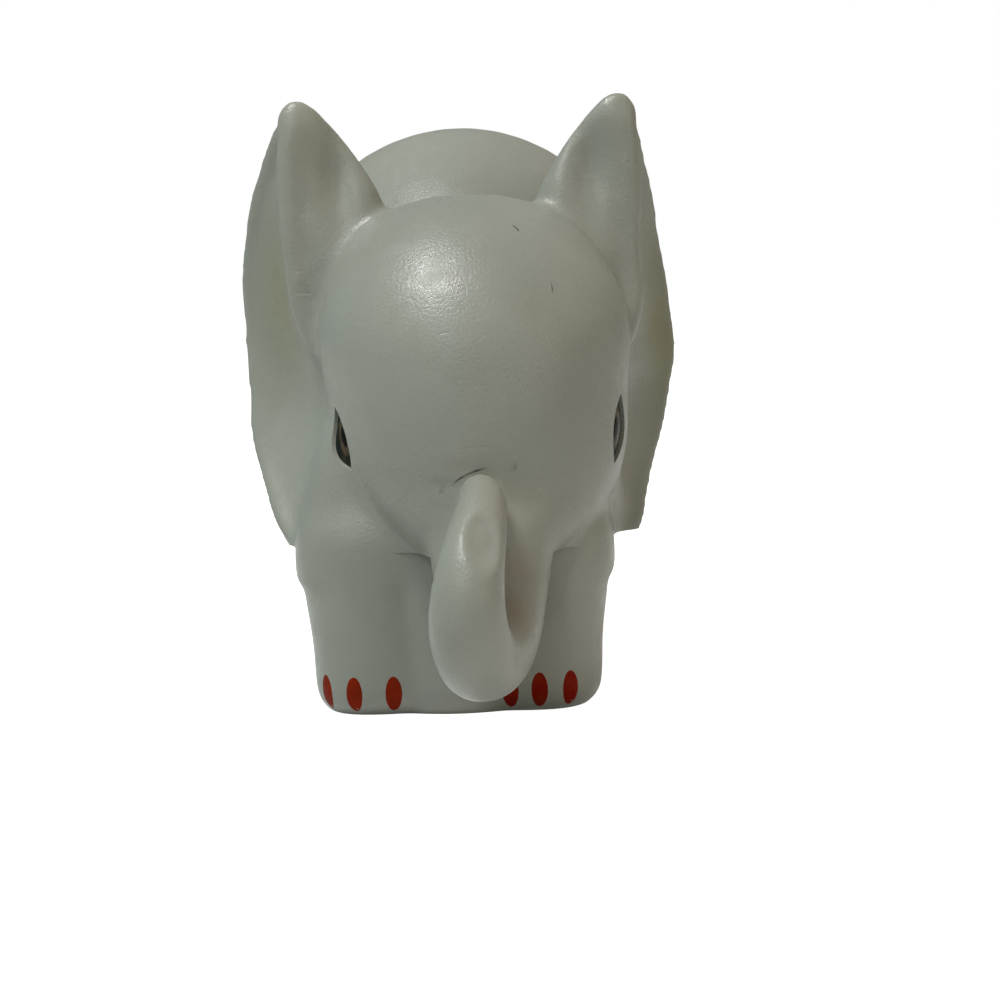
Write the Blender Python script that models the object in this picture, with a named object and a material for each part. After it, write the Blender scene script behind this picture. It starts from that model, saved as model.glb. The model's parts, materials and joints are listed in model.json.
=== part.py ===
"""Toy elephant for a toddler: a hollow moulded body on four joined feet, and a hollow moulded head with ears
and a curled trunk that turns on an upright neck pin. It faces -Y and stands on z = 0. Sizes are in mm.

Pieces of the torso: body_shell, belly_plate, belly_screw_*, neck_bush, tail, toenail_*.
Pieces of the head: head_shell, head_floor, head_floor_screw_*, neck_spring_washer, neck_retaining_washer,
neck_screw, eye_*, iris_*, pupil_*.
"""

import math

import bmesh
import bpy
from mathutils import Matrix, Vector
from mathutils.bvhtree import BVHTree

for old in list(bpy.data.objects):
    bpy.data.objects.remove(old, do_unlink=True)

MM = 0.001

# Walls and clearances
WALL = 2.0
BODY_WALL = 2.4
HEAD_WALL = 2.3
GAP = 0.3
INLAY_GAP = 0.15
# How far a cutter runs past what it cuts, how far a rib runs into its wall, and the step between near faces
OVERRUN = 90.0
SINK = 1.0
STEP = 0.2

# Body: where it starts at the chest, how long and tall it is, and its widest half width
BODY_START = -26.0
BODY_LENGTH = 76.2
BODY_HALF_WIDTH = 23.2
BODY_HEIGHT = 74.0
# Stations from chest to rump: place along, half width, underside, widest height and back line
BODY_SHARES = (
    (0.0, 0.431, 0.149, 0.230, 0.324),
    (0.026, 0.560, 0.095, 0.243, 0.405),
    (0.105, 0.711, 0.081, 0.270, 0.514),
    (0.236, 0.741, 0.108, 0.351, 0.622),
    (0.367, 0.705, 0.135, 0.459, 0.709),
    (0.472, 0.690, 0.149, 0.568, 0.797),
    (0.577, 0.810, 0.149, 0.649, 0.899),
    (0.682, 0.931, 0.135, 0.709, 0.973),
    (0.774, 1.0, 0.115, 0.730, 1.0),
    (0.860, 0.974, 0.108, 0.703, 0.981),
    (0.925, 0.862, 0.135, 0.649, 0.905),
    (0.971, 0.647, 0.203, 0.581, 0.784),
    (1.0, 0.323, 0.351, 0.514, 0.649),
)
RUMP_SHARE = 0.735
BELLY_POWER = 2.6
BODY_VOXEL = 0.7

# A pair of legs: height, outer half width of the pair, middle and reach along the body, half width of one leg
FRONT_LEG_HEIGHT = 24.0
FRONT_LEG_SPAN = 19.6
FRONT_LEG_Y = -18.0
FRONT_LEG_REACH = 11.0
FRONT_LEG_HALF = 9.8
HIND_LEG_HEIGHT = 27.0
HIND_LEG_SPAN = 19.6
HIND_LEG_Y = 24.0
HIND_LEG_REACH = 14.8
HIND_LEG_HALF = 9.9
LEG_POWER = 2.7
# By height: span, reach forward and back, half width; the web between the legs has the same four and its top
FRONT_LEG_SHARES = (
    (-0.0625, 0.755, 0.673, 0.764, 0.551),
    (0.0, 0.847, 0.855, 0.909, 0.735),
    (0.042, 0.898, 0.955, 0.982, 0.827),
    (0.125, 0.918, 1.0, 1.018, 0.867),
    (0.333, 0.929, 0.982, 1.055, 0.888),
    (0.542, 0.964, 0.955, 1.145, 0.939),
    (0.75, 0.995, 0.927, 1.327, 0.990),
    (0.896, 1.0, 0.891, 1.545, 1.0),
    (1.0, 0.867, 0.773, 1.545, 0.918),
)
HIND_LEG_SHARES = (
    (-0.056, 0.806, 0.743, 0.743, 0.626),
    (0.0, 0.898, 0.878, 0.878, 0.808),
    (0.037, 0.954, 0.946, 0.946, 0.909),
    (0.111, 0.985, 0.986, 0.986, 0.960),
    (0.296, 1.0, 1.0, 1.0, 0.990),
    (0.519, 1.0, 0.973, 1.014, 1.0),
    (0.704, 0.949, 0.919, 1.047, 0.970),
    (1.0, 0.842, 0.743, 1.014, 0.859),
)
FRONT_WEB_SHARES = (-0.0625, 0.61, 0.709, 0.818, 0.667)
HIND_WEB_SHARES = (-0.056, 0.71, 0.743, 0.777, 0.741)

# Arch between front and hind feet, and the hollow behind the belly plate
ARCH_FRONT = -7.0
ARCH_BACK = 9.5
ARCH_TOP = 11.0
ARCH_CORNER = 4.0
SOLE_RECESS = 0.5
PLATE = 2.0
FRONT_HOLLOW = 13.2
LONG_HOLLOW = 13.8
HOLLOW_START = -25.0
HOLLOW_END = 34.4
HIND_HOLLOW = 14.6
HIND_HOLLOW_LOW = 6.0
HIND_HOLLOW_TOP = 24.0
HIND_HOLLOW_WALL = 3.5

# Neck: the upright pin, the shelf that carries its bush, and the well that the head sits in
NECK_Y = -9.0
NECK_SHIFT = 2.7
HEAD_TURN = 7.5
NECK_R = 19.3
WELL_CLEARANCE = 1.7
SHELF_Z = 20.0
SHELF_T = 2.6
SHOULDER_Y = 7.0
CHIN_CLEARANCE = 5.2
TRUNK_CLEARANCE = 2.9
PIN_R = 3.2
BUSH_T = 1.2
BUSH_FLANGE = 2.3
BUSH_FLANGE_T = 1.2
BUSH_PROUD = 0.2
SPRING_T = 0.9
SPRING_RIM = 2.2
WASHER_R = 6.0
WASHER_T = 1.2
BUSH_R = PIN_R + GAP + BUSH_T
BUSH_FLANGE_R = BUSH_R + BUSH_FLANGE
HEAD_FLOOR_Z = SHELF_Z + BUSH_PROUD + GAP
WELL_R = NECK_R + WELL_CLEARANCE

# Screws
SCREW_R = 1.1
SCREW_HEAD_R = 2.1
SCREW_HEAD_T = 1.3
PAN_TOP_SHARE = 0.8
PAN_EDGE_SHARE = 0.3
POINT_SHARE = 0.32
CROSS_HALF_SHARE = 0.13
CROSS_REACH_SHARE = 0.62
CROSS_DEPTH_SHARE = 0.54
BOSS_R = 2.9
BELLY_SCREW_LENGTH = 9.8
FLOOR_SCREW_LENGTH = 8.4
NECK_SCREW_LENGTH = 9.0
PILOT_SPARE = 1.4
FRONT_SCREW_INSET = 6.0
HIND_SCREW_INSET = 7.4
SCREW_SPREAD_SHARE = 0.64
HIND_BOSS_TOP = 14.0
RIB_HALF = 1.0

# Skull, measured from the neck pin: top, widest half width and greatest half depth
SKULL_TOP = 63.0
SKULL_HALF_WIDTH = 19.7
SKULL_HALF_DEPTH = 21.9
HEAD_VOXEL = 0.5
# By height: half width, middle (as a share of the half depth) and half depth
SKULL_SHARES = (
    (0.317, 0.540, -0.502, 0.708),
    (0.349, 0.660, -0.434, 0.799),
    (0.389, 0.790, -0.342, 0.868),
    (0.437, 0.890, -0.256, 0.922),
    (0.517, 0.955, -0.210, 0.973),
    (0.603, 0.965, -0.183, 1.0),
    (0.714, 1.0, -0.146, 0.982),
    (0.794, 0.965, -0.091, 0.922),
    (0.865, 0.863, -0.027, 0.822),
    (0.929, 0.711, 0.055, 0.685),
    (0.973, 0.508, 0.128, 0.502),
    (1.0, 0.228, 0.192, 0.228),
)
# The neck under the skull, round about the pin, by height
NECK_SHARES = ((0.317, 1.0), (0.413, 0.984), (0.508, 0.881), (0.603, 0.674))
# The skirt of the head, flush with the chest below it: its height over the shelf, middle and half depth
SKIRT_HEIGHT = 22.0
SKIRT_Y = -13.5
SKIRT_HALF_DEPTH = 14.8
SKIRT_POWER = 4.5
# By height over the shelf: half width (as a share of the front legs' span), shift back and half depth
SKIRT_SHARES = (
    (-0.2, 1.02, 0.0, 1.01),
    (0.0, 1.02, 0.0, 1.01),
    (0.12, 1.0, 0.02, 0.99),
    (0.28, 0.955, 0.09, 0.96),
    (0.5, 0.89, 0.14, 0.94),
    (0.75, 0.78, 0.2, 0.86),
    (1.0, 0.62, 0.27, 0.73),
)
# How the head's inside starts over its floor and narrows towards its crown
CAVITY_MIDDLE = 42.0
CAVITY_SHARE = 0.89
FLOOR_R = 16.1
FLOOR_BOSS_R = 5.0
FLOOR_BOSS_T = 5.0
HEAD_BOSS_TOP = 31.0
HEAD_SCREW_R = 12.6

# Trunk: sway to the right, reach forward from the pin, height of its tip, and radius at its root
TRUNK_SWAY = 6.9
TRUNK_REACH = 41.8
TRUNK_TIP_Z = 28.6
TRUNK_R = 9.8
TRUNK_SHARES = (
    (0.04, 0.287, 0.962, 1.0),
    (0.09, 0.455, 0.769, 0.878),
    (0.13, 0.555, 0.587, 0.714),
    (0.19, 0.665, 0.427, 0.592),
    (0.36, 0.789, 0.350, 0.520),
    (0.60, 0.909, 0.362, 0.490),
    (0.78, 0.986, 0.469, 0.467),
    (0.82, 1.0, 0.615, 0.446),
    (0.75, 0.964, 0.755, 0.430),
    (0.62, 0.880, 0.874, 0.410),
    (0.49, 0.770, 0.955, 0.378),
    (0.41, 0.634, 1.0, 0.315),
)
# The lip of the trunk's end, by the same sizes
LIP_SHARES = (0.6, 0.967, 0.783, 0.285)
LIP_FLAT_SHARES = (1.0, 0.55, 0.5)
# The shallow dish in the face of the trunk's end, by the same sizes, with its half width, depth and height
DISH_SHARES = (0.51, 1.05, 0.893, 0.2)
DISH_FLAT_SHARES = (1.0, 0.9, 1.35)

# Ear: top, how far its edge stands out and back, its thickness and the depth of its cup
EAR_TOP = 74.4
EAR_OUT = 29.0
EAR_BACK = 18.4
EAR_THICK = 2.4
EAR_CUP = 1.5
CUP_POWER = 0.8
RIM_THICK_SHARE = 1.1
EDGE_THICK_SHARE = 0.8
EAR_WAVE = 0.3
EAR_WAVE_LENGTH = 10.1
EAR_LEAN = 3.0
# By height: the rim (front edge) and the outer edge, each as a place outwards and back
EAR_SHARES = (
    (0.249, 0.540, -0.598, 0.710, -0.408),
    (0.276, 0.540, -0.571, 0.745, -0.272),
    (0.309, 0.545, -0.489, 0.790, -0.027),
    (0.380, 0.550, -0.299, 0.862, 0.408),
    (0.470, 0.560, -0.098, 0.952, 0.761),
    (0.573, 0.640, 0.043, 1.0, 0.957),
    (0.672, 0.741, 0.120, 1.0, 1.0),
    (0.763, 0.755, 0.163, 0.979, 0.957),
    (0.874, 0.769, 0.185, 0.917, 0.783),
    (0.954, 0.769, 0.196, 0.848, 0.522),
    (1.0, 0.755, 0.207, 0.779, 0.304),
)
# The ears aren't quite alike: how far each leans outwards by height, as a share of the lean
LEFT_LEAN_SHARES = (
    (0.24, -0.87), (0.32, -0.63), (0.40, -0.4), (0.48, -0.3), (0.56, 0.03), (0.65, -0.1),
    (0.74, -0.33), (0.83, -0.57), (1.02, -0.67),
)
RIGHT_LEAN_SHARES = (
    (0.24, 0.87), (0.32, 0.73), (0.40, 0.53), (0.48, 0.2), (0.56, -0.17), (0.65, -0.2),
    (0.74, -0.1), (0.83, -0.03), (1.02, -0.1),
)
# The thick root that joins each ear to the head, by height: middle outwards and back, half width and depth
EAR_ROOT_SHARES = (
    (0.403, 0.520, -0.02, 0.07, 0.18),
    (0.470, 0.535, 0.09, 0.10, 0.25),
    (0.560, 0.550, 0.19, 0.13, 0.29),
    (0.672, 0.572, 0.250, 0.187, 0.293),
    (0.780, 0.559, 0.261, 0.221, 0.261),
    (0.847, 0.576, 0.261, 0.210, 0.217),
    (0.894, 0.614, 0.261, 0.183, 0.179),
    (0.941, 0.659, 0.250, 0.145, 0.141),
    (0.981, 0.707, 0.234, 0.107, 0.109),
    (1.009, 0.738, 0.223, 0.066, 0.071),
    (1.020, 0.745, 0.217, 0.024, 0.038),
)
LEAN_FROM_SHARE = 0.6

# Toenails: half width, half height, middle height, thickness and how far their paint stands out
NAIL_HALF_WIDTH = 1.08
NAIL_HALF_HEIGHT = 2.05
NAIL_Z = 2.75
NAIL_T = 0.48
NAIL_PROUD = 0.03
# Place across as a share of the span, and along as a share of the reach, with the way it looks in degrees
FRONT_NAIL_SHARES = {
    "right": ((-0.80, -0.727, -38), (-0.607, -0.727, -12), (-0.403, -0.727, 6)),
    "left": ((0.347, -0.727, -6), (0.505, -0.727, 4), (0.668, -0.727, 20)),
}
HIND_NAIL_SHARES = ((0.791, -0.811, 8), (0.939, -0.649, 74), (0.969, -0.338, 93))

# Eyes: height, half height, reach forward and back, and the depths of their layers under the skin
EYE_Z = 33.9
EYE_HALF_HEIGHT = 3.8
EYE_FRONT = 2.0
EYE_BACK = 2.4
EYE_RECESS = 0.2
PUPIL_T = 0.12
IRIS_T = 0.15
EYE_T = 0.5
LAYER_GAP = 0.18
IRIS_HALF_WIDTH = 1.5
IRIS_HALF_HEIGHT = 2.4
PUPIL_HALF_WIDTH = 0.8
PUPIL_HALF_HEIGHT = 1.3
# Which way each eye lies from straight ahead, which way its face looks, and how far that face looks down
EYE_TURNS = {"right": -55.0, "left": 49.0}
EYE_LOOK_TURNS = {"right": -66.0, "left": 60.0}
EYE_DROP = 9.0
PROBE = 6.0

# Tail: height of its root as a share of the body, its length, thickness and distance from the rump
TAIL_ROOT_SHARE = 0.689
TAIL_LENGTH = 25.0
TAIL_R = 1.6
TAIL_STANDOFF = 2.6
TAIL_STEM = 8.8
TAIL_STEM_R = 1.1
STEM_END_SHARE = 0.8
# Back from the rump to the barb inside the body: way along the stem and radius
TAIL_STEM_SHARES = ((1.0, 0.6), (0.92, 1.9), (0.75, 1.0), (0.0, 1.0))
# Down the tail: distance from the rump, way down and radius
TAIL_SHARES = (
    (0.27, -0.04, 0.375),
    (0.65, -0.012, 0.875),
    (0.96, 0.08, 1.0),
    (1.04, 0.28, 0.875),
    (0.96, 0.52, 0.78),
    (0.92, 0.72, 0.78),
    (1.0, 0.86, 1.06),
    (0.92, 0.96, 0.875),
    (0.88, 1.0, 0.31),
)

TORSO, HEAD = [], []


def spline(rows, steps):
    """The rows with further ones between them on a smooth curve through all."""
    rows = [tuple(map(float, row)) for row in rows]
    ends = [rows[0], *rows, rows[-1]]
    made = []
    for a, b, c, d in zip(ends, ends[1:], ends[2:], ends[3:]):
        for i in range(steps):
            t = i / steps
            made.append(
                tuple(
                    q
                    + ((r - p) * t + (2 * p - 5 * q + 4 * r - s) * t**2 + (3 * q - p - 3 * r + s) * t**3) / 2
                    for p, q, r, s in zip(a, b, c, d)
                )
            )
    return made + [rows[-1]]


def sized(shares, *sizes):
    """Rows of shares as lengths, each column by its own size."""
    return [tuple(share * size for share, size in zip(row, sizes)) for row in shares]


def make(name, points, faces, helper=False):
    """A mesh object from points in mm, facing outwards."""
    mesh = bpy.data.meshes.new(name)
    mesh.from_pydata([tuple(c * MM for c in point) for point in points], [], faces)
    work = bmesh.new()
    work.from_mesh(mesh)
    bmesh.ops.recalc_face_normals(work, faces=work.faces)
    if work.calc_volume(signed=True) < 0:
        bmesh.ops.reverse_faces(work, faces=work.faces)
    work.to_mesh(mesh)
    work.free()
    obj = bpy.data.objects.new(name, mesh)
    bpy.context.scene.collection.objects.link(obj)
    obj.hide_render = helper
    return obj


def ring_faces(count, rings, closed=False):
    faces = []
    for i in range(rings if closed else rings - 1):
        a, b = i * count, (i + 1) % rings * count
        for j in range(count):
            k = (j + 1) % count
            faces.append((a + j, a + k, b + k, b + j))
    return faces


def loft(name, rings):
    """A closed skin over rings of equally many points, with a fan over each end."""
    count = len(rings[0])
    points = [point for ring in rings for point in ring]
    faces = ring_faces(count, len(rings))
    for start, ring in ((0, rings[0]), (len(points) - count, rings[-1])):
        middle = tuple(sum(c) / count for c in zip(*ring))
        faces += [(start + j, start + (j + 1) % count, len(points)) for j in range(count)]
        points.append(middle)
    return make(name, points, faces)


def curve_power(value, power):
    return math.copysign(abs(value) ** (2 / power), value)


def turns(count):
    return [2 * math.pi * (i + 0.5) / count for i in range(count)]


def flat_oval(x, y, z, a, b, power=2.0, count=28):
    """A level oval, or a rounded rectangle where power is over 2."""
    points = []
    for i in range(count):
        t = 2 * math.pi * i / count
        points.append((x + a * curve_power(math.cos(t), power), y + b * curve_power(math.sin(t), power), z))
    return points


def lathe(name, x, y, profile, count=20):
    """The closed (radius, height) profile turned about an upright axis."""
    solid = [(r, z) for r, z in profile if r > 0]
    rings = [[(x + r * math.cos(t), y + r * math.sin(t), z) for t in turns(count)] for r, z in solid]
    if len(solid) == len(profile):
        return make(name, [p for ring in rings for p in ring], ring_faces(count, len(rings), closed=True))
    return loft(name, rings)


def rod(name, x, y, low, high, radius, count=20):
    return lathe(name, x, y, ((0, low), (radius, low), (radius, high), (0, high)), count)


def box(name, low, high):
    (x0, y0, z0), (x1, y1, z1) = low, high
    return loft(name, [[(x0, y0, z), (x1, y0, z), (x1, y1, z), (x0, y1, z)] for z in (z0, z1)])


def tube(name, path, count=20):
    """A round tube along (x, y, z, radius) points, with rounded ends left to the remesh."""
    middles = [Vector(p[:3]) for p in path]
    side = Vector((1, 0, 0))
    rings = []
    for i, (middle, point) in enumerate(zip(middles, path)):
        along = (middles[min(i + 1, len(path) - 1)] - middles[max(i - 1, 0)]).normalized()
        side = (side - along * side.dot(along)).normalized()
        up = along.cross(side)
        r = point[3]
        rings.append([tuple(middle + (side * math.cos(t) + up * math.sin(t)) * r) for t in turns(count)])
    return loft(name, rings)


def ball(name, x, y, z, a, b, c, count=20):
    rings = []
    for i in range(1, 12):
        polar = math.pi * i / 12
        wide, deep = a * math.sin(polar), b * math.sin(polar)
        rings.append(flat_oval(x, y, z - c * math.cos(polar), wide, deep, count=count))
    return loft(name, rings)


def settled(obj):
    """The object's modifiers put into its mesh."""
    graph = bpy.context.evaluated_depsgraph_get()
    graph.update()
    mesh = bpy.data.meshes.new_from_object(obj.evaluated_get(graph))
    obj.modifiers.clear()
    obj.data = mesh
    return obj


def blended(name, forms, voxel, rounds, triangles):
    """One skin over overlapping forms, with the inner corners between them rounded."""
    work = bmesh.new()
    for form in forms:
        work.from_mesh(form.data)
        bpy.data.objects.remove(form, do_unlink=True)
    mesh = bpy.data.meshes.new(name)
    work.to_mesh(mesh)
    work.free()
    obj = bpy.data.objects.new(name, mesh)
    bpy.context.scene.collection.objects.link(obj)
    remesh = obj.modifiers.new("skin", "REMESH")
    remesh.mode = "VOXEL"
    remesh.voxel_size = voxel * MM
    smooth = obj.modifiers.new("fillets", "SMOOTH")
    smooth.factor = 0.5
    smooth.iterations = rounds
    settled(obj)
    decimate = obj.modifiers.new("facets", "DECIMATE")
    decimate.ratio = triangles / (2 * len(obj.data.polygons))
    return settled(obj)


def combined(obj, other, operation):
    """The object cut by, joined to or kept inside the other one, which is then removed."""
    modifier = obj.modifiers.new(operation.lower(), "BOOLEAN")
    modifier.operation = operation
    modifier.solver = "MANIFOLD"
    modifier.object = other
    settled(obj)
    bpy.data.objects.remove(other, do_unlink=True)
    return obj


def cut(obj, *others):
    for other in others:
        combined(obj, other, "DIFFERENCE")
    return obj


def join(obj, *others):
    for other in others:
        combined(obj, other, "UNION")
    return obj


def surface_of(obj):
    work = bmesh.new()
    work.from_mesh(obj.data)
    tree = BVHTree.FromBMesh(work)
    work.free()
    return tree


def inlay(name, tree, centre, outward, outline, top, bottom):
    """A thin plate that follows a surface. Top and bottom say how far its faces lie outside that surface."""
    outward = Vector(outward).normalized()
    across = Vector((0, 0, 1)).cross(outward).normalized()
    up = outward.cross(across)
    centre = Vector(centre)
    found = [centre + across * u + up * v for u, v in outline] + [centre]
    on_surface = [tree.ray_cast((point + outward * PROBE) * MM, -outward)[0] / MM for point in found]
    count = len(outline)
    points, faces = [], []
    for shift in (top, bottom):
        start = len(points)
        points += [tuple(p + outward * shift) for p in on_surface]
        faces += [(start + j, start + (j + 1) % count, start + count) for j in range(count)]
    base = len(on_surface)
    faces += [(j, (j + 1) % count, base + (j + 1) % count, base + j) for j in range(count)]
    return make(name, points, faces)


def oval_outline(a, b, count=12):
    return [(a * math.cos(t), b * math.sin(t)) for t in turns(count)]


def almond_outline(front, back, height, count=8):
    """Pointed at the top and bottom, with its front side flatter than its back."""
    rows = [-1 + 2 * i / count for i in range(count + 1)]
    forward = [(front * (1 - v * v), v * height) for v in rows]
    backward = [(-back * (1 - v * v), v * height) for v in reversed(rows[1:-1])]
    return forward + backward


def facing(turn, drop=0.0):
    """The direction that lies turn degrees to the left of straight ahead and drop degrees down."""
    turn, drop = math.radians(turn), math.radians(drop)
    return Vector((math.sin(turn) * math.cos(drop), -math.cos(turn) * math.cos(drop), -math.sin(drop)))


# Torso


def barrel(name, inset=0.0, start=None):
    rings = []
    rows = sized(BODY_SHARES, BODY_LENGTH, BODY_HALF_WIDTH, BODY_HEIGHT, BODY_HEIGHT, BODY_HEIGHT)
    rump = RUMP_SHARE * BODY_LENGTH
    for along, half, low, wide, high in spline(rows, 1 if inset else 3):
        if start is not None and BODY_START + along < start:
            continue
        half, low, high = half - inset, low + inset, high - inset
        if along > rump:
            along = rump + (along - rump) * (1 - inset / (BODY_LENGTH - rump))
        ring = []
        for t in turns(20 if inset else 36):
            c, s = math.cos(t), math.sin(t)
            if s > 0:
                ring.append((half * c, BODY_START + along, wide + (high - wide) * s))
            else:
                drop = (wide - low) * curve_power(s, BELLY_POWER)
                ring.append((half * curve_power(c, BELLY_POWER), BODY_START + along, wide + drop))
        rings.append(ring)
    if inset:
        rings = [ring for ring in rings if max(p[0] for p in ring) > inset]
    return loft(name, rings)


def leg_pair(name, shares, web_shares, height, span, middle, reach, width):
    """Both legs of a pair, and the web that closes the space between them."""
    made = []
    for side in (-1, 1):
        rings = []
        for z, outer, front, back, half in spline(shares, 3):
            centre = middle + (back - front) / 2 * reach
            deep, half = (front + back) / 2 * reach, half * width
            rings.append(flat_oval(side * (outer * span - half), centre, z * height, half, deep, LEG_POWER))
        made.append(loft(name, rings))
    low, half, front, back, top = web_shares
    near = (-half * width, middle - front * reach, low * height)
    made.append(box(name, near, (half * width, middle + back * reach, top * height)))
    return made


def body_form():
    front = (FRONT_LEG_HEIGHT, FRONT_LEG_SPAN, FRONT_LEG_Y, FRONT_LEG_REACH, FRONT_LEG_HALF)
    hind = (HIND_LEG_HEIGHT, HIND_LEG_SPAN, HIND_LEG_Y, HIND_LEG_REACH, HIND_LEG_HALF)
    forms = [barrel("barrel")]
    forms += leg_pair("front_leg", FRONT_LEG_SHARES, FRONT_WEB_SHARES, *front)
    forms += leg_pair("hind_leg", HIND_LEG_SHARES, HIND_WEB_SHARES, *hind)
    return blended("body_shell", forms, BODY_VOXEL, 8, 3600)


def arch_cutter(name, grow=0.0, half=OVERRUN):
    """The tunnel between front and hind legs, as a rounded arch pushed through sideways."""
    front, back, top = ARCH_FRONT - grow, ARCH_BACK + grow, ARCH_TOP + grow
    radius = ARCH_CORNER + grow
    quarter = [math.pi / 8 * i for i in range(5)]
    rows = [(front, -OVERRUN)]
    rows += [(front + radius - radius * math.cos(t), top - radius + radius * math.sin(t)) for t in quarter]
    rows += [(back - radius + radius * math.sin(t), top - radius + radius * math.cos(t)) for t in quarter]
    rows.append((back, -OVERRUN))
    return loft(name, [[(x, y, z) for y, z in rows] for x in (-half, half)])


def body_cavity():
    """The hollow of the body, open underneath from foot to foot and clear of the well that the head sits in."""
    hollow = barrel("cavity", BODY_WALL, start=ARCH_FRONT + SINK)
    under_shelf = SHELF_Z - SHELF_T
    hind_start, front_end = ARCH_BACK + HIND_HOLLOW_WALL, ARCH_FRONT - SINK
    join(
        hollow,
        box(
            "hind_hollow",
            (-HIND_HOLLOW, hind_start, HIND_HOLLOW_LOW),
            (HIND_HOLLOW, HOLLOW_END - STEP, HIND_HOLLOW_TOP),
        ),
    )
    cut(
        hollow,
        rod("well_wall", NECK_SHIFT, NECK_Y, under_shelf, OVERRUN, WELL_R + WALL, 40),
        box(
            "shoulder_wall",
            (-OVERRUN, -OVERRUN, under_shelf - STEP / 2),
            (OVERRUN, SHOULDER_Y + WALL, OVERRUN - STEP),
        ),
    )
    join(
        hollow,
        box("front_hollow", (-FRONT_HOLLOW, HOLLOW_START, -OVERRUN), (FRONT_HOLLOW, front_end, under_shelf)),
        box(
            "long_hollow",
            (-LONG_HOLLOW, front_end - ARCH_CORNER, -OVERRUN - STEP),
            (LONG_HOLLOW, HOLLOW_END, under_shelf - STEP),
        ),
    )
    return hollow


def belly_screw_places():
    """(x, y) of the four screws, a front pair and a hind pair, set in from the ends of the hollow."""
    rows = ((FRONT_HOLLOW, HOLLOW_START + FRONT_SCREW_INSET), (LONG_HOLLOW, HOLLOW_END - HIND_SCREW_INSET))
    return [(side * half * SCREW_SPREAD_SHARE, y) for half, y in rows for side in (-1, 1)]


def quarter_turned(points, times):
    """The points turned about the origin by so many right angles."""
    for _ in range(times):
        points = [(-v, u) for u, v in points]
    return points


def screw(name, x, y, low, length, group):
    """A pan screw whose head is at the low end, with a cross recess."""
    head, tip = low + SCREW_HEAD_T, low + length
    top, point = SCREW_HEAD_R * PAN_TOP_SHARE, SCREW_R * POINT_SHARE
    shoulder = low + SCREW_HEAD_T * PAN_EDGE_SHARE
    profile = ((0, low), (top, low), (SCREW_HEAD_R, shoulder), (SCREW_HEAD_R, head))
    profile += ((SCREW_R, head), (SCREW_R, tip - SCREW_R), (point, tip), (0, tip))
    obj = lathe(name, x, y, profile, 10)
    a, b = SCREW_HEAD_R * CROSS_HALF_SHARE, SCREW_HEAD_R * CROSS_REACH_SHARE
    quarter = [(b, -a), (b, a), (a, a)]
    cross = [turned for k in range(4) for turned in quarter_turned(quarter, k)]
    levels = (low - SCREW_HEAD_T, low + SCREW_HEAD_T * CROSS_DEPTH_SHARE)
    cut(obj, loft("recess", [[(x + u, y + v, z) for u, v in cross] for z in levels]))
    group.append(obj)
    return obj


def body_shell():
    shell = body_form()
    skin = surface_of(shell)
    cut(
        shell,
        box("floor", (-OVERRUN, -OVERRUN, -OVERRUN), (OVERRUN, OVERRUN, 0)),
        arch_cutter("arch"),
        rod("well", NECK_SHIFT, NECK_Y, SHELF_Z - STEP / 2, OVERRUN, WELL_R, 56),
        box("open_front", (-OVERRUN, -OVERRUN, SHELF_Z), (OVERRUN, SHOULDER_Y, OVERRUN)),
        body_cavity(),
    )
    sole = SOLE_RECESS + PLATE + GAP
    pilot_end = SOLE_RECESS + BELLY_SCREW_LENGTH + PILOT_SPARE
    for x, y in belly_screw_places():
        if y < ARCH_FRONT:
            join(shell, rod("boss", x, y, sole, SHELF_Z - SHELF_T + SINK, BOSS_R, 16))
        else:
            join(shell, rod("boss", x, y, sole, HIND_BOSS_TOP, BOSS_R, 16))
            rib_end = (x + RIB_HALF, HOLLOW_END + SINK, HIND_BOSS_TOP - SINK)
            join(shell, box("rib", (x - RIB_HALF, y + SCREW_R, sole + SINK / 2), rib_end))
        cut(shell, rod("pilot", x, y, 0, pilot_end, SCREW_R + GAP, 12))
    seat = SHELF_Z + BUSH_PROUD - BUSH_FLANGE_T - GAP
    cut(
        shell,
        rod("bush_seat", NECK_SHIFT, NECK_Y, seat, OVERRUN, BUSH_FLANGE_R + GAP, 24),
        rod("bush_hole", NECK_SHIFT, NECK_Y, ARCH_TOP, OVERRUN, BUSH_R + GAP, 24),
    )
    TORSO.append(shell)
    return shell, skin


def belly_plate():
    """One plate that closes both pairs of feet and lines the arch between them."""
    low, high = SOLE_RECESS, SOLE_RECESS + PLATE
    wide, narrow = LONG_HOLLOW - GAP, FRONT_HOLLOW - GAP
    plate = arch_cutter("belly_plate", PLATE + SOLE_RECESS, wide)
    combined(plate, box("above_floor", (-OVERRUN, -OVERRUN, low), (OVERRUN, OVERRUN, OVERRUN)), "INTERSECT")
    join(
        plate,
        box("front_sole", (-narrow, HOLLOW_START + GAP, low), (narrow, ARCH_FRONT - STEP, high)),
        box("hind_sole", (-wide, ARCH_BACK + STEP, low), (wide, HOLLOW_END - GAP, high)),
    )
    cut(plate, arch_cutter("arch", SOLE_RECESS))
    for i, (x, y) in enumerate(belly_screw_places()):
        cut(
            plate,
            rod("head_seat", x, y, -OVERRUN, low + SCREW_HEAD_T, SCREW_HEAD_R + GAP, 16),
            rod("screw_hole", x, y, -OVERRUN, OVERRUN, SCREW_R + GAP, 12),
        )
        screw(f"belly_screw_{i + 1}", x, y, low - STEP, BELLY_SCREW_LENGTH, TORSO)
    TORSO.append(plate)


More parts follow.
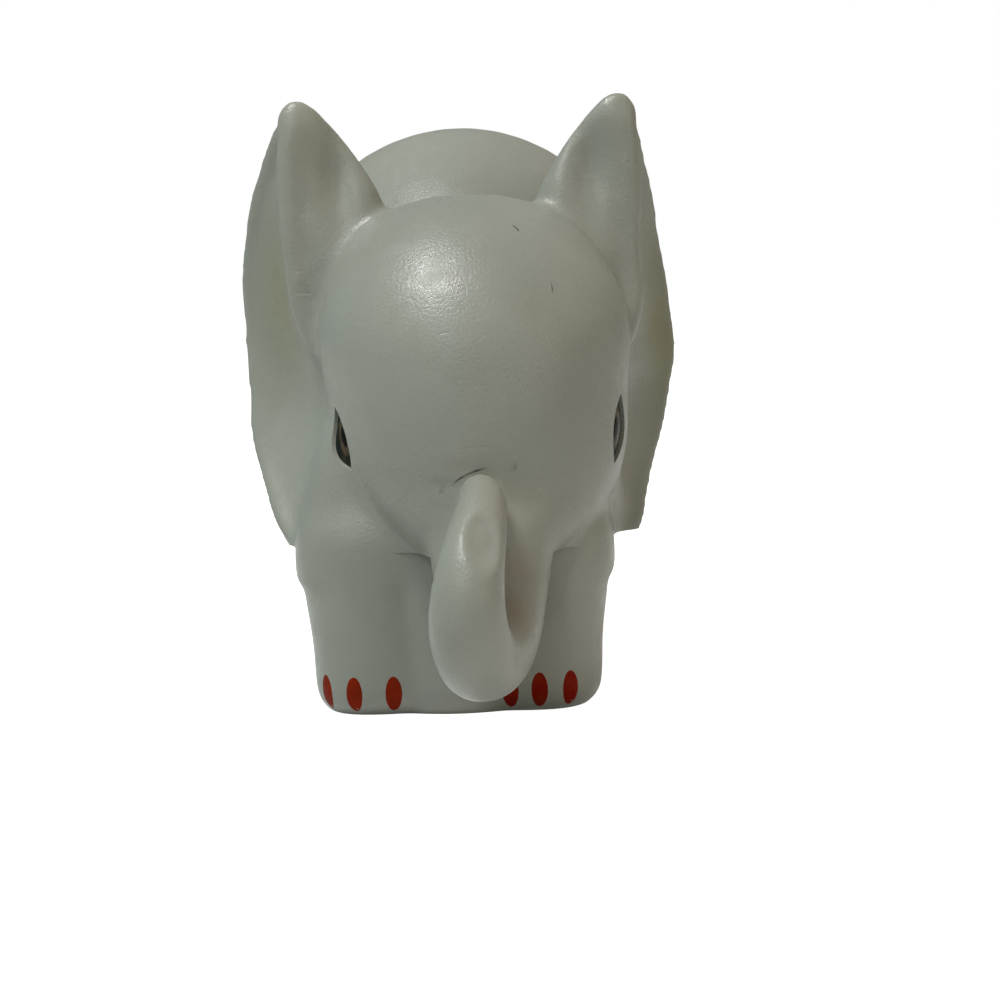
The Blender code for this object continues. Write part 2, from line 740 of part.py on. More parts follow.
def neck_bush():
    """The flanged ring in the shelf that the head's pin turns in."""
    top, low, bore = SHELF_Z + BUSH_PROUD, SHELF_Z - SHELF_T - GAP, PIN_R + GAP
    flange = top - BUSH_FLANGE_T
    profile = ((bore, low), (BUSH_R, low), (BUSH_R, flange))
    profile += ((BUSH_FLANGE_R, flange), (BUSH_FLANGE_R, top), (bore, top))
    TORSO.append(lathe("neck_bush", NECK_SHIFT, NECK_Y, profile, 24))


def tail(shell):
    """A soft tail pushed through a hole in the rump and held there by its barb."""
    rump, root = BODY_START + BODY_LENGTH, BODY_HEIGHT * TAIL_ROOT_SHARE
    rows = sized(TAIL_SHARES, TAIL_STANDOFF, TAIL_LENGTH, TAIL_R)
    path = [(0, rump + out, root - down, r) for out, down, r in rows]
    soft = tube("tail", spline(path, 2), 8)
    end = rump + TAIL_STANDOFF * STEM_END_SHARE
    stem = [(0, end - back, root, r) for back, r in sized(TAIL_STEM_SHARES, TAIL_STEM, TAIL_STEM_R)]
    join(soft, tube("stem", stem, 10))
    hole = TAIL_STEM_R + GAP
    ends = (rump - TAIL_STEM, rump + TAIL_STANDOFF)
    cut(shell, tube("stem_hole", [(0, y, root, hole) for y in ends], 12))
    TORSO.append(soft)


def toenails(shell, skin):
    """Painted toenails, held as thin inlays that follow the feet."""
    places = []
    for word, sign in (("right", -1), ("left", 1)):
        for i, (x, y, turn) in enumerate(FRONT_NAIL_SHARES[word]):
            place = (x * FRONT_LEG_SPAN, FRONT_LEG_Y + y * FRONT_LEG_REACH, NAIL_Z)
            places.append((f"toenail_front_{word}_{i + 1}", place, turn))
        for i, (x, y, turn) in enumerate(HIND_NAIL_SHARES):
            place = (sign * x * HIND_LEG_SPAN, HIND_LEG_Y + y * HIND_LEG_REACH, NAIL_Z)
            places.append((f"toenail_hind_{word}_{i + 1}", place, sign * turn))
    pocket = oval_outline(NAIL_HALF_WIDTH + INLAY_GAP, NAIL_HALF_HEIGHT + INLAY_GAP)
    nail = oval_outline(NAIL_HALF_WIDTH, NAIL_HALF_HEIGHT)
    depth = NAIL_PROUD - NAIL_T
    for name, place, turn in places:
        cut(shell, inlay("pocket", skin, place, facing(turn), pocket, WALL, depth - INLAY_GAP))
        TORSO.append(inlay(name, skin, place, facing(turn), nail, NAIL_PROUD, depth))


# Head, in its own frame: the neck pin at x = y = 0 and the face straight ahead


def to_head(points):
    """Points of the body's frame in the frame of the head at rest."""
    turn = math.radians(HEAD_TURN)
    found = []
    for x, y, z in points:
        x, y = x - NECK_SHIFT, y - NECK_Y
        found.append((x * math.cos(turn) + y * math.sin(turn), y * math.cos(turn) - x * math.sin(turn), z))
    return found


def ear_lean(side, z):
    rows = sized(LEFT_LEAN_SHARES if side > 0 else RIGHT_LEAN_SHARES, EAR_TOP, EAR_LEAN)
    for (low, a), (high, b) in zip(rows, rows[1:]):
        if z <= high:
            return a + (b - a) * max(0.0, z - low) / (high - low)
    return rows[-1][1]


def ear_forms(side):
    """The ear as a cupped sheet from its rim to its wavy outer edge, and the thick root that carries it."""
    rings = []
    steps = 7
    sheet_rows = sized(EAR_SHARES, EAR_TOP, EAR_OUT, EAR_BACK, EAR_OUT, EAR_BACK)
    for z, rim_x, rim_y, edge_x, edge_y in spline(sheet_rows, 3):
        lean = ear_lean(side, z)
        wave = EAR_WAVE * math.sin(2 * math.pi * z / EAR_WAVE_LENGTH)
        along = Vector((edge_x - rim_x, edge_y - rim_y))
        across = Vector((along.y, -along.x)).normalized()
        faces = ([], [])
        for j in range(steps + 1):
            u = j / steps
            middle = Vector((rim_x, rim_y)) + along * u
            middle += across * (wave * u * u - EAR_CUP * math.sin(math.pi * u) ** CUP_POWER)
            thick = EAR_THICK / 2 * (RIM_THICK_SHARE + (EDGE_THICK_SHARE - RIM_THICK_SHARE) * u)
            for row, sign in zip(faces, (1, -1)):
                place = middle + across * thick * sign
                row.append((side * (place.x + lean), place.y, z))
        rings.append(faces[0] + faces[1][::-1])
    sheet = loft("ear_sheet", rings)
    root = []
    root_rows = sized(EAR_ROOT_SHARES, EAR_TOP, EAR_OUT, EAR_BACK, EAR_OUT, EAR_BACK)
    for z, x, y, a, b in spline(root_rows, 3):
        lean = ear_lean(side, z) if z > LEAN_FROM_SHARE * EAR_TOP else 0.0
        root.append(flat_oval(side * (x + lean), y, z, a, b))
    return [sheet, loft("ear_root", root)]


def skull_rows():
    return sized(SKULL_SHARES, SKULL_TOP, SKULL_HALF_WIDTH, SKULL_HALF_DEPTH, SKULL_HALF_DEPTH)


def head_form():
    skull = [flat_oval(0, y, z, a, b, 2.0, 40) for z, a, y, b in spline(skull_rows(), 3)]
    neck = [flat_oval(0, 0, z, r, r, 2.0, 40) for z, r in sized(NECK_SHARES, SKULL_TOP, NECK_R)]
    skirt = []
    skirt_rows = sized(SKIRT_SHARES, SKIRT_HEIGHT, FRONT_LEG_SPAN, SKIRT_HALF_DEPTH, SKIRT_HALF_DEPTH)
    for up, half, back, deep in spline(skirt_rows, 3):
        skirt.append(to_head(flat_oval(0, SKIRT_Y + back, SHELF_Z + up, half, deep, SKIRT_POWER, 40)))
    trunk_rows = sized(TRUNK_SHARES, TRUNK_SWAY, TRUNK_REACH, TRUNK_TIP_Z, TRUNK_R)
    trunk = [(-x, -y, z, r) for x, y, z, r in spline(trunk_rows, 3)]
    forms = [loft("skull", skull), loft("neck", neck), loft("skirt", skirt), tube("trunk", trunk, 24)]
    forms.append(trunk_ball("lip", LIP_SHARES, LIP_FLAT_SHARES))
    return blended("head_shell", forms + ear_forms(-1) + ear_forms(1), HEAD_VOXEL, 8, 4200)


def trunk_ball(name, shares, flat_shares):
    """A ball placed and sized by the trunk's own sizes, flattened by its three shares."""
    x, y, z, r = sized((shares,), TRUNK_SWAY, TRUNK_REACH, TRUNK_TIP_Z, TRUNK_R)[0]
    return ball(name, -x, -y, z, *(r * share for share in flat_shares))


def head_cavity():
    rings = []
    for z, a, y, b in skull_rows()[3:-1]:
        level = CAVITY_MIDDLE + (z - CAVITY_MIDDLE) * CAVITY_SHARE
        rings.append(flat_oval(0, y, level, a - HEAD_WALL, b - HEAD_WALL, 2.0, 24))
    return join(loft("cavity", rings), rod("opening", 0, 0, 0, HEAD_BOSS_TOP, FLOOR_R + GAP, 28))


def head_screw_places():
    around = (math.pi / 2, math.pi * 7 / 6, math.pi * 11 / 6)
    return [(HEAD_SCREW_R * math.cos(t), HEAD_SCREW_R * math.sin(t)) for t in around]


def head_shell():
    """The head, cut level over the shelf everywhere but at the trunk, which passes in front of the chest."""
    shell = head_form()
    skin = surface_of(shell)
    under = rod("chest_room", 0, 0, -OVERRUN, HEAD_FLOOR_Z, NECK_R + CHIN_CLEARANCE, 64)
    behind = -TRUNK_REACH * TRUNK_SHARES[0][1]
    join(under, box("ear_room", (-OVERRUN, behind, -OVERRUN), (OVERRUN, OVERRUN, HEAD_FLOOR_Z)))
    for side in (-1, 1):
        inner, outer = sorted((side * (TRUNK_R + TRUNK_CLEARANCE), side * OVERRUN))
        join(under, box("lobe_room", (inner, -NECK_R - WALL, -OVERRUN), (outer, 0, HEAD_FLOOR_Z)))
    cut(shell, under, head_cavity(), trunk_ball("dish", DISH_SHARES, DISH_FLAT_SHARES))
    low = HEAD_FLOOR_Z + PLATE + GAP
    for x, y in head_screw_places():
        reach = Vector((x, y)).normalized() * (HEAD_SCREW_R + BOSS_R)
        rib = rod("rib", *reach, low, HEAD_BOSS_TOP - STEP, BOSS_R - SINK, 10)
        join(shell, join(rod("boss", x, y, low, HEAD_BOSS_TOP, BOSS_R, 16), rib))
        cut(shell, rod("pilot", x, y, 0, HEAD_FLOOR_Z + FLOOR_SCREW_LENGTH + STEP, SCREW_R + GAP, 12))
    HEAD.append(shell)
    return shell, skin


def head_floor():
    """The disc that closes the head from below and carries the neck pin."""
    low = HEAD_FLOOR_Z
    pin_end = SHELF_Z - SHELF_T - 2 * GAP - SPRING_T
    profile = ((0, pin_end), (PIN_R, pin_end), (PIN_R, low), (FLOOR_R, low), (FLOOR_R, low + PLATE))
    profile += ((FLOOR_BOSS_R, low + PLATE), (FLOOR_BOSS_R, low + FLOOR_BOSS_T), (0, low + FLOOR_BOSS_T))
    floor = lathe("head_floor", 0, 0, profile, 28)
    high = pin_end - GAP
    screw_low = high - WASHER_T - GAP - SCREW_HEAD_T
    cut(floor, rod("pilot", 0, 0, 0, screw_low + NECK_SCREW_LENGTH + PILOT_SPARE, SCREW_R + GAP, 12))
    for i, (x, y) in enumerate(head_screw_places()):
        cut(
            floor,
            rod("head_seat", x, y, 0, low + SCREW_HEAD_T, SCREW_HEAD_R + GAP, 16),
            rod("screw_hole", x, y, 0, OVERRUN, SCREW_R + GAP, 12),
        )
        screw(f"head_floor_screw_{i + 1}", x, y, low - STEP, FLOOR_SCREW_LENGTH, HEAD)
    HEAD.append(floor)

    inner, outer, top = PIN_R + GAP, PIN_R + GAP + SPRING_RIM, pin_end + SPRING_T
    spring = ((inner, pin_end), (outer, pin_end), (outer, top), (inner, top))
    HEAD.append(lathe("neck_spring_washer", 0, 0, spring))
    hole, under = SCREW_R + GAP, high - WASHER_T
    washer = ((hole, under), (WASHER_R, under), (WASHER_R, high), (hole, high))
    HEAD.append(lathe("neck_retaining_washer", 0, 0, washer))
    screw("neck_screw", 0, 0, screw_low, NECK_SCREW_LENGTH, HEAD)


def eyes(shell, skin):
    """An almond pocket on each side of the face, with a dark eye, a brown iris and a pupil in layers."""
    pupil_low = -EYE_RECESS - PUPIL_T
    iris_top = pupil_low - LAYER_GAP
    iris_low = iris_top - IRIS_T
    eye_top = iris_low - LAYER_GAP
    eye_low = eye_top - EYE_T
    for side, word in ((-1, "right"), (1, "left")):
        ray = facing(EYE_TURNS[word])
        start = Vector((0, 0, EYE_Z)) + ray * OVERRUN
        centre = skin.ray_cast(start * MM, -ray)[0] / MM
        looks = facing(EYE_LOOK_TURNS[word], EYE_DROP)

        def outline(front, back, half):
            return [(-side * u, v) for u, v in almond_outline(front, back, half)]

        pocket = outline(EYE_FRONT, EYE_BACK, EYE_HALF_HEIGHT)
        cut(shell, inlay("pocket", skin, centre, looks, pocket, WALL, eye_low - INLAY_GAP))
        eye = outline(EYE_FRONT - INLAY_GAP, EYE_BACK - INLAY_GAP, EYE_HALF_HEIGHT - 2 * INLAY_GAP)
        HEAD.append(inlay(f"eye_{word}", skin, centre, looks, eye, eye_top, eye_low))
        iris = oval_outline(IRIS_HALF_WIDTH, IRIS_HALF_HEIGHT, 16)
        HEAD.append(inlay(f"iris_{word}", skin, centre, looks, iris, iris_top, iris_low))
        pupil = oval_outline(PUPIL_HALF_WIDTH, PUPIL_HALF_HEIGHT, 10)
        HEAD.append(inlay(f"pupil_{word}", skin, centre, looks, pupil, -EYE_RECESS, pupil_low))


def turn_head():
    turn = Matrix.Rotation(math.radians(HEAD_TURN), 4, "Z")
    for obj in HEAD:
        obj.data.transform(Matrix.Translation((NECK_SHIFT * MM, NECK_Y * MM, 0)) @ turn)


def centre_footprint():
    """Moves everything so that the middle of the bounding box is over the origin."""
    places = [v.co for obj in TORSO + HEAD for v in obj.data.vertices]
    middle = [(min(p[i] for p in places) + max(p[i] for p in places)) / 2 for i in (0, 1)]
    for obj in TORSO + HEAD:
        obj.data.transform(Matrix.Translation((-middle[0], -middle[1], 0)))
    shift = [-c / MM for c in middle]
    print("body plane and neck pin (mm):", shift[0], NECK_SHIFT + shift[0], NECK_Y + shift[1])


torso_shell, torso_skin = body_shell()
belly_plate()
neck_bush()
tail(torso_shell)
toenails(torso_shell, torso_skin)
face_shell, face_skin = head_shell()
head_floor()
eyes(face_shell, face_skin)
turn_head()
centre_footprint()
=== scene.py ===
"""Looks of the toy elephant: camera, soft studio light, worn satin plastic and the finely rounded skins.

The skins are modelled anew and finer from the same forms as the solids, in mm, and moved to the frame's
neck pin. The head's and the body's share their forms at the neck and meet there in a hairline.
"""

import json
import math

import bmesh
import bpy
import numpy as np
from mathutils import Matrix, Vector
from mathutils.bvhtree import BVHTree

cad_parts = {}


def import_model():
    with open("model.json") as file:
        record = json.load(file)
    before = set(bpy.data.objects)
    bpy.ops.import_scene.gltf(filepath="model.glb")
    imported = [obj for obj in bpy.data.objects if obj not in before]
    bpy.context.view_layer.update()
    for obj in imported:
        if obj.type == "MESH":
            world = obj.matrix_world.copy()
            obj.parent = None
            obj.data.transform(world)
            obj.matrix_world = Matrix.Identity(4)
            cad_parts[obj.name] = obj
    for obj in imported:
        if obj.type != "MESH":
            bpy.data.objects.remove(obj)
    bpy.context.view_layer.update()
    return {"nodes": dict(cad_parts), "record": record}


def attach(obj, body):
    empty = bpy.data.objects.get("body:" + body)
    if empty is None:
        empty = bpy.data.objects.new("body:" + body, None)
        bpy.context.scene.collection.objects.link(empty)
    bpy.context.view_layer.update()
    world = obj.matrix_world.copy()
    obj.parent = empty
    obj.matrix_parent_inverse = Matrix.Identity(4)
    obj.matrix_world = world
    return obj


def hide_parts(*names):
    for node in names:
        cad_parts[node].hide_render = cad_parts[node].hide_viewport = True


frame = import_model()
scene = bpy.context.scene

MM = 0.001

# As in the solids, in mm and degrees: walls, clearances and how far cutters run past what they cut
GAP = 0.3
BODY_WALL = 2.4
HEAD_WALL = 2.3
WALL = 2.0
OVERRUN = 90.0
SINK = 1.0
STEP = 0.2

# Body: its start and sizes, then by place along: half width, underside, widest height and back
BODY_START = -26.0
BODY_LENGTH = 76.2
BODY_HALF_WIDTH = 23.2
BODY_HEIGHT = 74.0
BODY_SHARES = (
    (0.0, 0.431, 0.149, 0.230, 0.324),
    (0.026, 0.560, 0.095, 0.243, 0.405),
    (0.105, 0.711, 0.081, 0.270, 0.514),
    (0.236, 0.741, 0.108, 0.351, 0.622),
    (0.367, 0.705, 0.135, 0.459, 0.709),
    (0.472, 0.690, 0.149, 0.568, 0.797),
    (0.577, 0.810, 0.149, 0.649, 0.899),
    (0.682, 0.931, 0.135, 0.709, 0.973),
    (0.774, 1.0, 0.115, 0.730, 1.0),
    (0.860, 0.974, 0.108, 0.703, 0.981),
    (0.925, 0.862, 0.135, 0.649, 0.905),
    (0.971, 0.647, 0.203, 0.581, 0.784),
    (1.0, 0.323, 0.351, 0.514, 0.649),
)
RUMP_SHARE = 0.735
BELLY_POWER = 2.6

# Legs: by height, the outer side, reach forward and back and half width; then the web of a pair
FRONT_LEG_HEIGHT = 24.0
FRONT_LEG_SPAN = 19.6
FRONT_LEG_Y = -18.0
FRONT_LEG_REACH = 11.0
FRONT_LEG_HALF = 9.8
HIND_LEG_HEIGHT = 27.0
HIND_LEG_SPAN = 19.6
HIND_LEG_Y = 24.0
HIND_LEG_REACH = 14.8
HIND_LEG_HALF = 9.9
LEG_POWER = 2.7
FRONT_LEG_SHARES = (
    (-0.0625, 0.755, 0.673, 0.764, 0.551),
    (0.0, 0.847, 0.855, 0.909, 0.735),
    (0.042, 0.898, 0.955, 0.982, 0.827),
    (0.125, 0.918, 1.0, 1.018, 0.867),
    (0.333, 0.929, 0.982, 1.055, 0.888),
    (0.542, 0.964, 0.955, 1.145, 0.939),
    (0.75, 0.995, 0.927, 1.327, 0.990),
    (0.896, 1.0, 0.891, 1.545, 1.0),
    (1.0, 0.867, 0.773, 1.545, 0.918),
)
HIND_LEG_SHARES = (
    (-0.056, 0.806, 0.743, 0.743, 0.626),
    (0.0, 0.898, 0.878, 0.878, 0.808),
    (0.037, 0.954, 0.946, 0.946, 0.909),
    (0.111, 0.985, 0.986, 0.986, 0.960),
    (0.296, 1.0, 1.0, 1.0, 0.990),
    (0.519, 1.0, 0.973, 1.014, 1.0),
    (0.704, 0.949, 0.919, 1.047, 0.970),
    (1.0, 0.842, 0.743, 1.014, 0.859),
)
FRONT_WEB_SHARES = (-0.0625, 0.61, 0.709, 0.818, 0.667)
HIND_WEB_SHARES = (-0.056, 0.71, 0.743, 0.777, 0.741)

# The arch between front and hind feet, and the hollow
ARCH_FRONT = -7.0
ARCH_BACK = 9.5
ARCH_TOP = 11.0
ARCH_CORNER = 4.0
FRONT_HOLLOW = 13.2
LONG_HOLLOW = 13.8
HOLLOW_START = -25.0
HOLLOW_END = 34.4
HIND_HOLLOW = 14.6
HIND_HOLLOW_LOW = 6.0
HIND_HOLLOW_TOP = 24.0
HIND_HOLLOW_WALL = 3.5

# Neck: the pin's place, the head's turn at rest, the well and the shelf
NECK_Y = -9.0
NECK_SHIFT = 2.7
HEAD_TURN = 7.5
TURN_COS, TURN_SIN = math.cos(math.radians(HEAD_TURN)), math.sin(math.radians(HEAD_TURN))
NECK_R = 19.3
WELL_CLEARANCE = 1.7
SHELF_Z = 20.0
SHELF_T = 2.6
SHOULDER_Y = 7.0
CHIN_CLEARANCE = 5.2
TRUNK_CLEARANCE = 2.9
WELL_R = NECK_R + WELL_CLEARANCE

# Skull by height: half width, middle and half depth; then the neck, the skirt and the hollow
SKULL_TOP = 63.0
SKULL_HALF_WIDTH = 19.7
SKULL_HALF_DEPTH = 21.9
SKULL_SHARES = (
    (0.317, 0.540, -0.502, 0.708),
    (0.349, 0.660, -0.434, 0.799),
    (0.389, 0.790, -0.342, 0.868),
    (0.437, 0.890, -0.256, 0.922),
    (0.517, 0.955, -0.210, 0.973),
    (0.603, 0.965, -0.183, 1.0),
    (0.714, 1.0, -0.146, 0.982),
    (0.794, 0.965, -0.091, 0.922),
    (0.865, 0.863, -0.027, 0.822),
    (0.929, 0.711, 0.055, 0.685),
    (0.973, 0.508, 0.128, 0.502),
    (1.0, 0.228, 0.192, 0.228),
)
NECK_SHARES = ((0.317, 1.0), (0.413, 0.984), (0.508, 0.881), (0.603, 0.674))
SKIRT_HEIGHT = 22.0
SKIRT_Y = -13.5
SKIRT_HALF_DEPTH = 14.8
SKIRT_POWER = 4.5
SKIRT_SHARES = (
    (-0.2, 1.02, 0.0, 1.01),
    (0.0, 1.02, 0.0, 1.01),
    (0.12, 1.0, 0.02, 0.99),
    (0.28, 0.955, 0.09, 0.96),
    (0.5, 0.89, 0.14, 0.94),
    (0.75, 0.78, 0.2, 0.86),
    (1.0, 0.62, 0.27, 0.73),
)
CAVITY_MIDDLE = 42.0
CAVITY_SHARE = 0.89
FLOOR_R = 16.1
HEAD_BOSS_TOP = 31.0

# Trunk: how far across, forwards and up it goes, and its radius
TRUNK_SWAY = 6.9
TRUNK_REACH = 41.8
TRUNK_TIP_Z = 28.6
TRUNK_R = 9.8
TRUNK_SHARES = (
    (0.04, 0.287, 0.962, 1.0),
    (0.09, 0.455, 0.769, 0.878),
    (0.13, 0.555, 0.587, 0.714),
    (0.19, 0.665, 0.427, 0.592),
    (0.36, 0.789, 0.350, 0.520),
    (0.60, 0.909, 0.362, 0.490),
    (0.78, 0.986, 0.469, 0.467),
    (0.82, 1.0, 0.615, 0.446),
    (0.75, 0.964, 0.755, 0.430),
    (0.62, 0.880, 0.874, 0.410),
    (0.49, 0.770, 0.955, 0.378),
    (0.41, 0.634, 1.0, 0.315),
)

# Ears: rim and outer edge by height, each outwards and back; then the lean and the root
EAR_TOP = 74.4
EAR_OUT = 29.0
EAR_BACK = 18.4
EAR_THICK = 2.4
EAR_CUP = 1.5
CUP_POWER = 0.8
RIM_THICK_SHARE = 1.1
EDGE_THICK_SHARE = 0.8
EAR_WAVE = 0.3
EAR_WAVE_LENGTH = 10.1
EAR_LEAN = 3.0
EAR_SHARES = (
    (0.249, 0.540, -0.598, 0.710, -0.408),
    (0.276, 0.540, -0.571, 0.745, -0.272),
    (0.309, 0.545, -0.489, 0.790, -0.027),
    (0.380, 0.550, -0.299, 0.862, 0.408),
    (0.470, 0.560, -0.098, 0.952, 0.761),
    (0.573, 0.640, 0.043, 1.0, 0.957),
    (0.672, 0.741, 0.120, 1.0, 1.0),
    (0.763, 0.755, 0.163, 0.979, 0.957),
    (0.874, 0.769, 0.185, 0.917, 0.783),
    (0.954, 0.769, 0.196, 0.848, 0.522),
    (1.0, 0.755, 0.207, 0.779, 0.304),
)
LEFT_LEAN_SHARES = (
    (0.24, -0.87), (0.32, -0.63), (0.40, -0.4), (0.48, -0.3), (0.56, 0.03), (0.65, -0.1),
    (0.74, -0.33), (0.83, -0.57), (1.02, -0.67),
)
RIGHT_LEAN_SHARES = (
    (0.24, 0.87), (0.32, 0.73), (0.40, 0.53), (0.48, 0.2), (0.56, -0.17), (0.65, -0.2),
    (0.74, -0.1), (0.83, -0.03), (1.02, -0.1),
)
EAR_ROOT_SHARES = (
    (0.403, 0.520, -0.02, 0.07, 0.18),
    (0.470, 0.535, 0.09, 0.10, 0.25),
    (0.560, 0.550, 0.19, 0.13, 0.29),
    (0.672, 0.572, 0.250, 0.187, 0.293),
    (0.780, 0.559, 0.261, 0.221, 0.261),
    (0.847, 0.576, 0.261, 0.210, 0.217),
    (0.894, 0.614, 0.261, 0.183, 0.179),
    (0.941, 0.659, 0.250, 0.145, 0.141),
    (0.981, 0.707, 0.234, 0.107, 0.109),
    (1.009, 0.738, 0.223, 0.066, 0.071),
    (1.020, 0.745, 0.217, 0.024, 0.038),
)
LEAN_FROM_SHARE = 0.6

# Toenails: place across and along, and the way each looks
NAIL_HALF_WIDTH = 1.08
NAIL_HALF_HEIGHT = 2.05
NAIL_Z = 2.75
FRONT_NAIL_SHARES = {
    "right": ((-0.80, -0.727, -38), (-0.607, -0.727, -12), (-0.403, -0.727, 6)),
    "left": ((0.347, -0.727, -6), (0.505, -0.727, 4), (0.668, -0.727, 20)),
}
HIND_NAIL_SHARES = ((0.791, -0.811, 8), (0.939, -0.649, 74), (0.969, -0.338, 93))

# Eyes: height and half sizes, the way to each from the pin, and the way it looks
EYE_Z = 33.9
EYE_HALF_HEIGHT = 3.8
EYE_FRONT = 2.0
EYE_BACK = 2.4
EYE_TURNS = {"right": -55.0, "left": 49.0}
EYE_LOOK_TURNS = {"right": -66.0, "left": 60.0}
EYE_DROP = 9.0
PROBE = 6.0

# Tail: stand-off, drop and radius along it
TAIL_ROOT_SHARE = 0.689
TAIL_LENGTH = 25.0
TAIL_R = 1.6
TAIL_STANDOFF = 2.6
TAIL_STEM_R = 1.1
STEM_END_SHARE = 0.8
TAIL_SHARES = (
    (0.27, -0.04, 0.375),
    (0.65, -0.012, 0.875),
    (0.96, 0.08, 1.0),
    (1.04, 0.28, 0.875),
    (0.96, 0.52, 0.78),
    (0.92, 0.72, 0.78),
    (1.0, 0.86, 1.06),
    (0.92, 0.96, 0.875),
    (0.88, 1.0, 0.31),
)

# From here on the scene's own values: the skins' pitch, smoothing, hairline and sharp edges
FINE = 0.42
ROUNDS = 20
SEAM = 0.002
SHARP_ANGLE = 38.0
TAIL_FINE = 0.22
TAIL_STEM_RUN = 1.6
LAST_ROUNDS = 4
# Half the width of the hollow left between the side walls over the arch
BRIDGE_HALF = 11.0
# The chest that fills the space between the front legs: middle, half width and depth, by height
CHEST_Y = -20.4
CHEST_HALF_WIDTH = 12.0
CHEST_HALF_DEPTH = 8.8
CHEST_SHARES = ((-0.06, 0.8, 0.8), (0.02, 0.95, 0.93), (0.1, 1.0, 1.0), (1.0, 1.0, 1.0))
# Swelling of the body: height, its three waves with their starts, and where above the shelf it sets in
SWELL = 0.18
SWELL_WAVES = ((0.19, 1.0), (0.16, 0.0), (0.21, 0.5))
SWELL_FROM = (SHELF_Z + 4, SHELF_Z + 14)

# Ears: the rolled rim and where it ends, the rounded outer edge, its waves and the tip
RIM_R = 1.95
RIM_FOOT_SHARE = 0.6
EDGE_R = 1.05
WAVE_SHARE = 0.3
CUP_STEPS = 14
TIP_BALL = (2.15, 2.0, 2.4)
TIP_RAISE = 0.9
# How much further out than in the solid each ear leans by height; how its edge is smoothed
LEFT_EAR_MORE = ((18, 0.8), (36, 0.8), (44, 0.0), (54, 0.0), (62, 0.8), (76, 0.9))
RIGHT_EAR_MORE = ((18, 0.3), (24, 0.8), (30, 0.6), (36, 0.0), (60, 0.0), (76, -0.2))
EAR_EDGE_FROM = (20.0, 23.0)
EAR_EDGE_ROUNDS = 120
EAR_EDGE_SWING = 1.04
# Where the ears' lower edges run into the neck, and how softly
NECK_FOLD = (19.5, -2.0, 27.0)
NECK_FOLD_SIZE = (5.0, 10.0, 7.0)
NECK_FOLD_ROUNDS = 60
# The hollow in each ear's face between its rim and the crown: place, size and depth
EAR_FACE = (16.3, 0.5, 65.5)
EAR_FACE_SIZE = (3.2, 7.0, 8.5)
EAR_FACE_DEPTH = 2.1

# Trunk: rings per row, and how far its raised end is drawn in and from where along it
TRUNK_STEPS = 6
TIP_SLIM = 0.2
TIP_FROM = (0.55, 0.95)
# The dish in its end, with the face ahead: middle, half sizes, reach, depth, and the lip
DISH = (-3.5, -42.4, 24.3)
DISH_HALF = (2.3, 3.4)
DISH_REACH = 4.0
DISH_DEPTH = 1.15
DISH_FALL = (0.35, 1.0)
LIP_PROUD = 0.15
LIP_AT, LIP_WIDTH = 1.12, 0.16
# Creases over the trunk's end: place, size and depth
BROW_CREASES = (
    ((-6.9, -25.5, 28.6), (2.2, 3.0, 0.5), 0.35),
    ((-4.6, -28.0, 30.6), (2.2, 3.5, 0.5), 0.35),
)

# Fine dark lines on the head: three places along each, with its face ahead, and half its width; the
# first is painted shade in the crease where the trunk's end meets the brow
HEAD_LINES_AND_CREASE_SHADE = (
    (((-6.19, -26.66, 28.54), (-3.8, -26.72, 30.07), (-0.52, -26.94, 30.76)), 0.17),
    (((4.06, -12.97, 58.92), (4.65, -13.03, 58.42), (5.11, -13.08, 57.8)), 0.1),
    (((7.77, -19.31, 52.06), (7.97, -19.35, 51.22), (8.06, -19.37, 50.27)), 0.07),
)
LINE_COLOUR = (0.06, 0.06, 0.05)
LINE_FADE = (0.6, 1.1)
# Tints and painted shade on the head, each with name, place, size and strength, with the face ahead:
# olive is an olive tint with painted shade in the ear hollows, warm is painted shade inside the trunk's
# curl and faintly on the forehead
HEAD_TINTS_AND_SHADE = (
    ("olive", (-25.0, 9.5, 50.0), (6.5, 6.0, 11.0), 1.0),
    ("olive", (27.0, 14.0, 45.0), (4.5, 6.0, 13.0), 0.9),
    ("warm", (0.6, -33.0, 14.5), (2.2, 4.5, 4.5), 1.0),
    ("warm", (1.5, -29.0, 19.0), (2.4, 4.0, 3.5), 0.55),
    ("warm", (5.5, -22.3, 49.0), (3.0, 4.0, 2.6), 0.35),
)
# Rubbed and scratched spots, of which the first two on the head and the first on the body lie on the
# brightest highlight spots, where their pale flecks are painted highlight; then pinprick dirt, of which
# the last on the head is painted shade at the start of the crease over the trunk's end
HEAD_SCUFFS_AND_HIGHLIGHTS = (
    ((-7.4, -18.1, 53.1), (4.0, 4.0, 4.0)),
    ((-5.4, -23.6, 45.6), (2.6, 3.0, 3.4)),
    ((11.6, -19.4, 47.6), (1.6, 2.5, 1.8)),
    ((10.5, -21.5, 44.2), (1.5, 2.5, 1.8)),
    ((0.6, -31.1, 17.2), (1.8, 3.0, 1.6)),
    ((4.5, -26.1, 22.2), (0.9, 2.0, 1.0)),
    ((2.7, -15.5, 57.0), (1.4, 2.0, 1.2)),
)
BODY_SCUFFS_AND_HIGHLIGHT = (((13.6, -28.2, 6.7), (1.8, 2.5, 1.5)), ((-2.6, 30.1, 73.3), (1.6, 1.6, 1.6)))
# Pinprick dirt; the last spot on the head is painted shade at the start of the crease over the trunk's
# end
HEAD_DIRT_AND_SHADE = ((-3.6, -2.6, 62.4), (2.0, -25.7, 30.6), (-6.5, -24.2, 28.1))
BODY_DIRT = ((-2.6, 30.1, 73.3),)
DIRT_SIZE = (0.3, 0.3, 0.3)

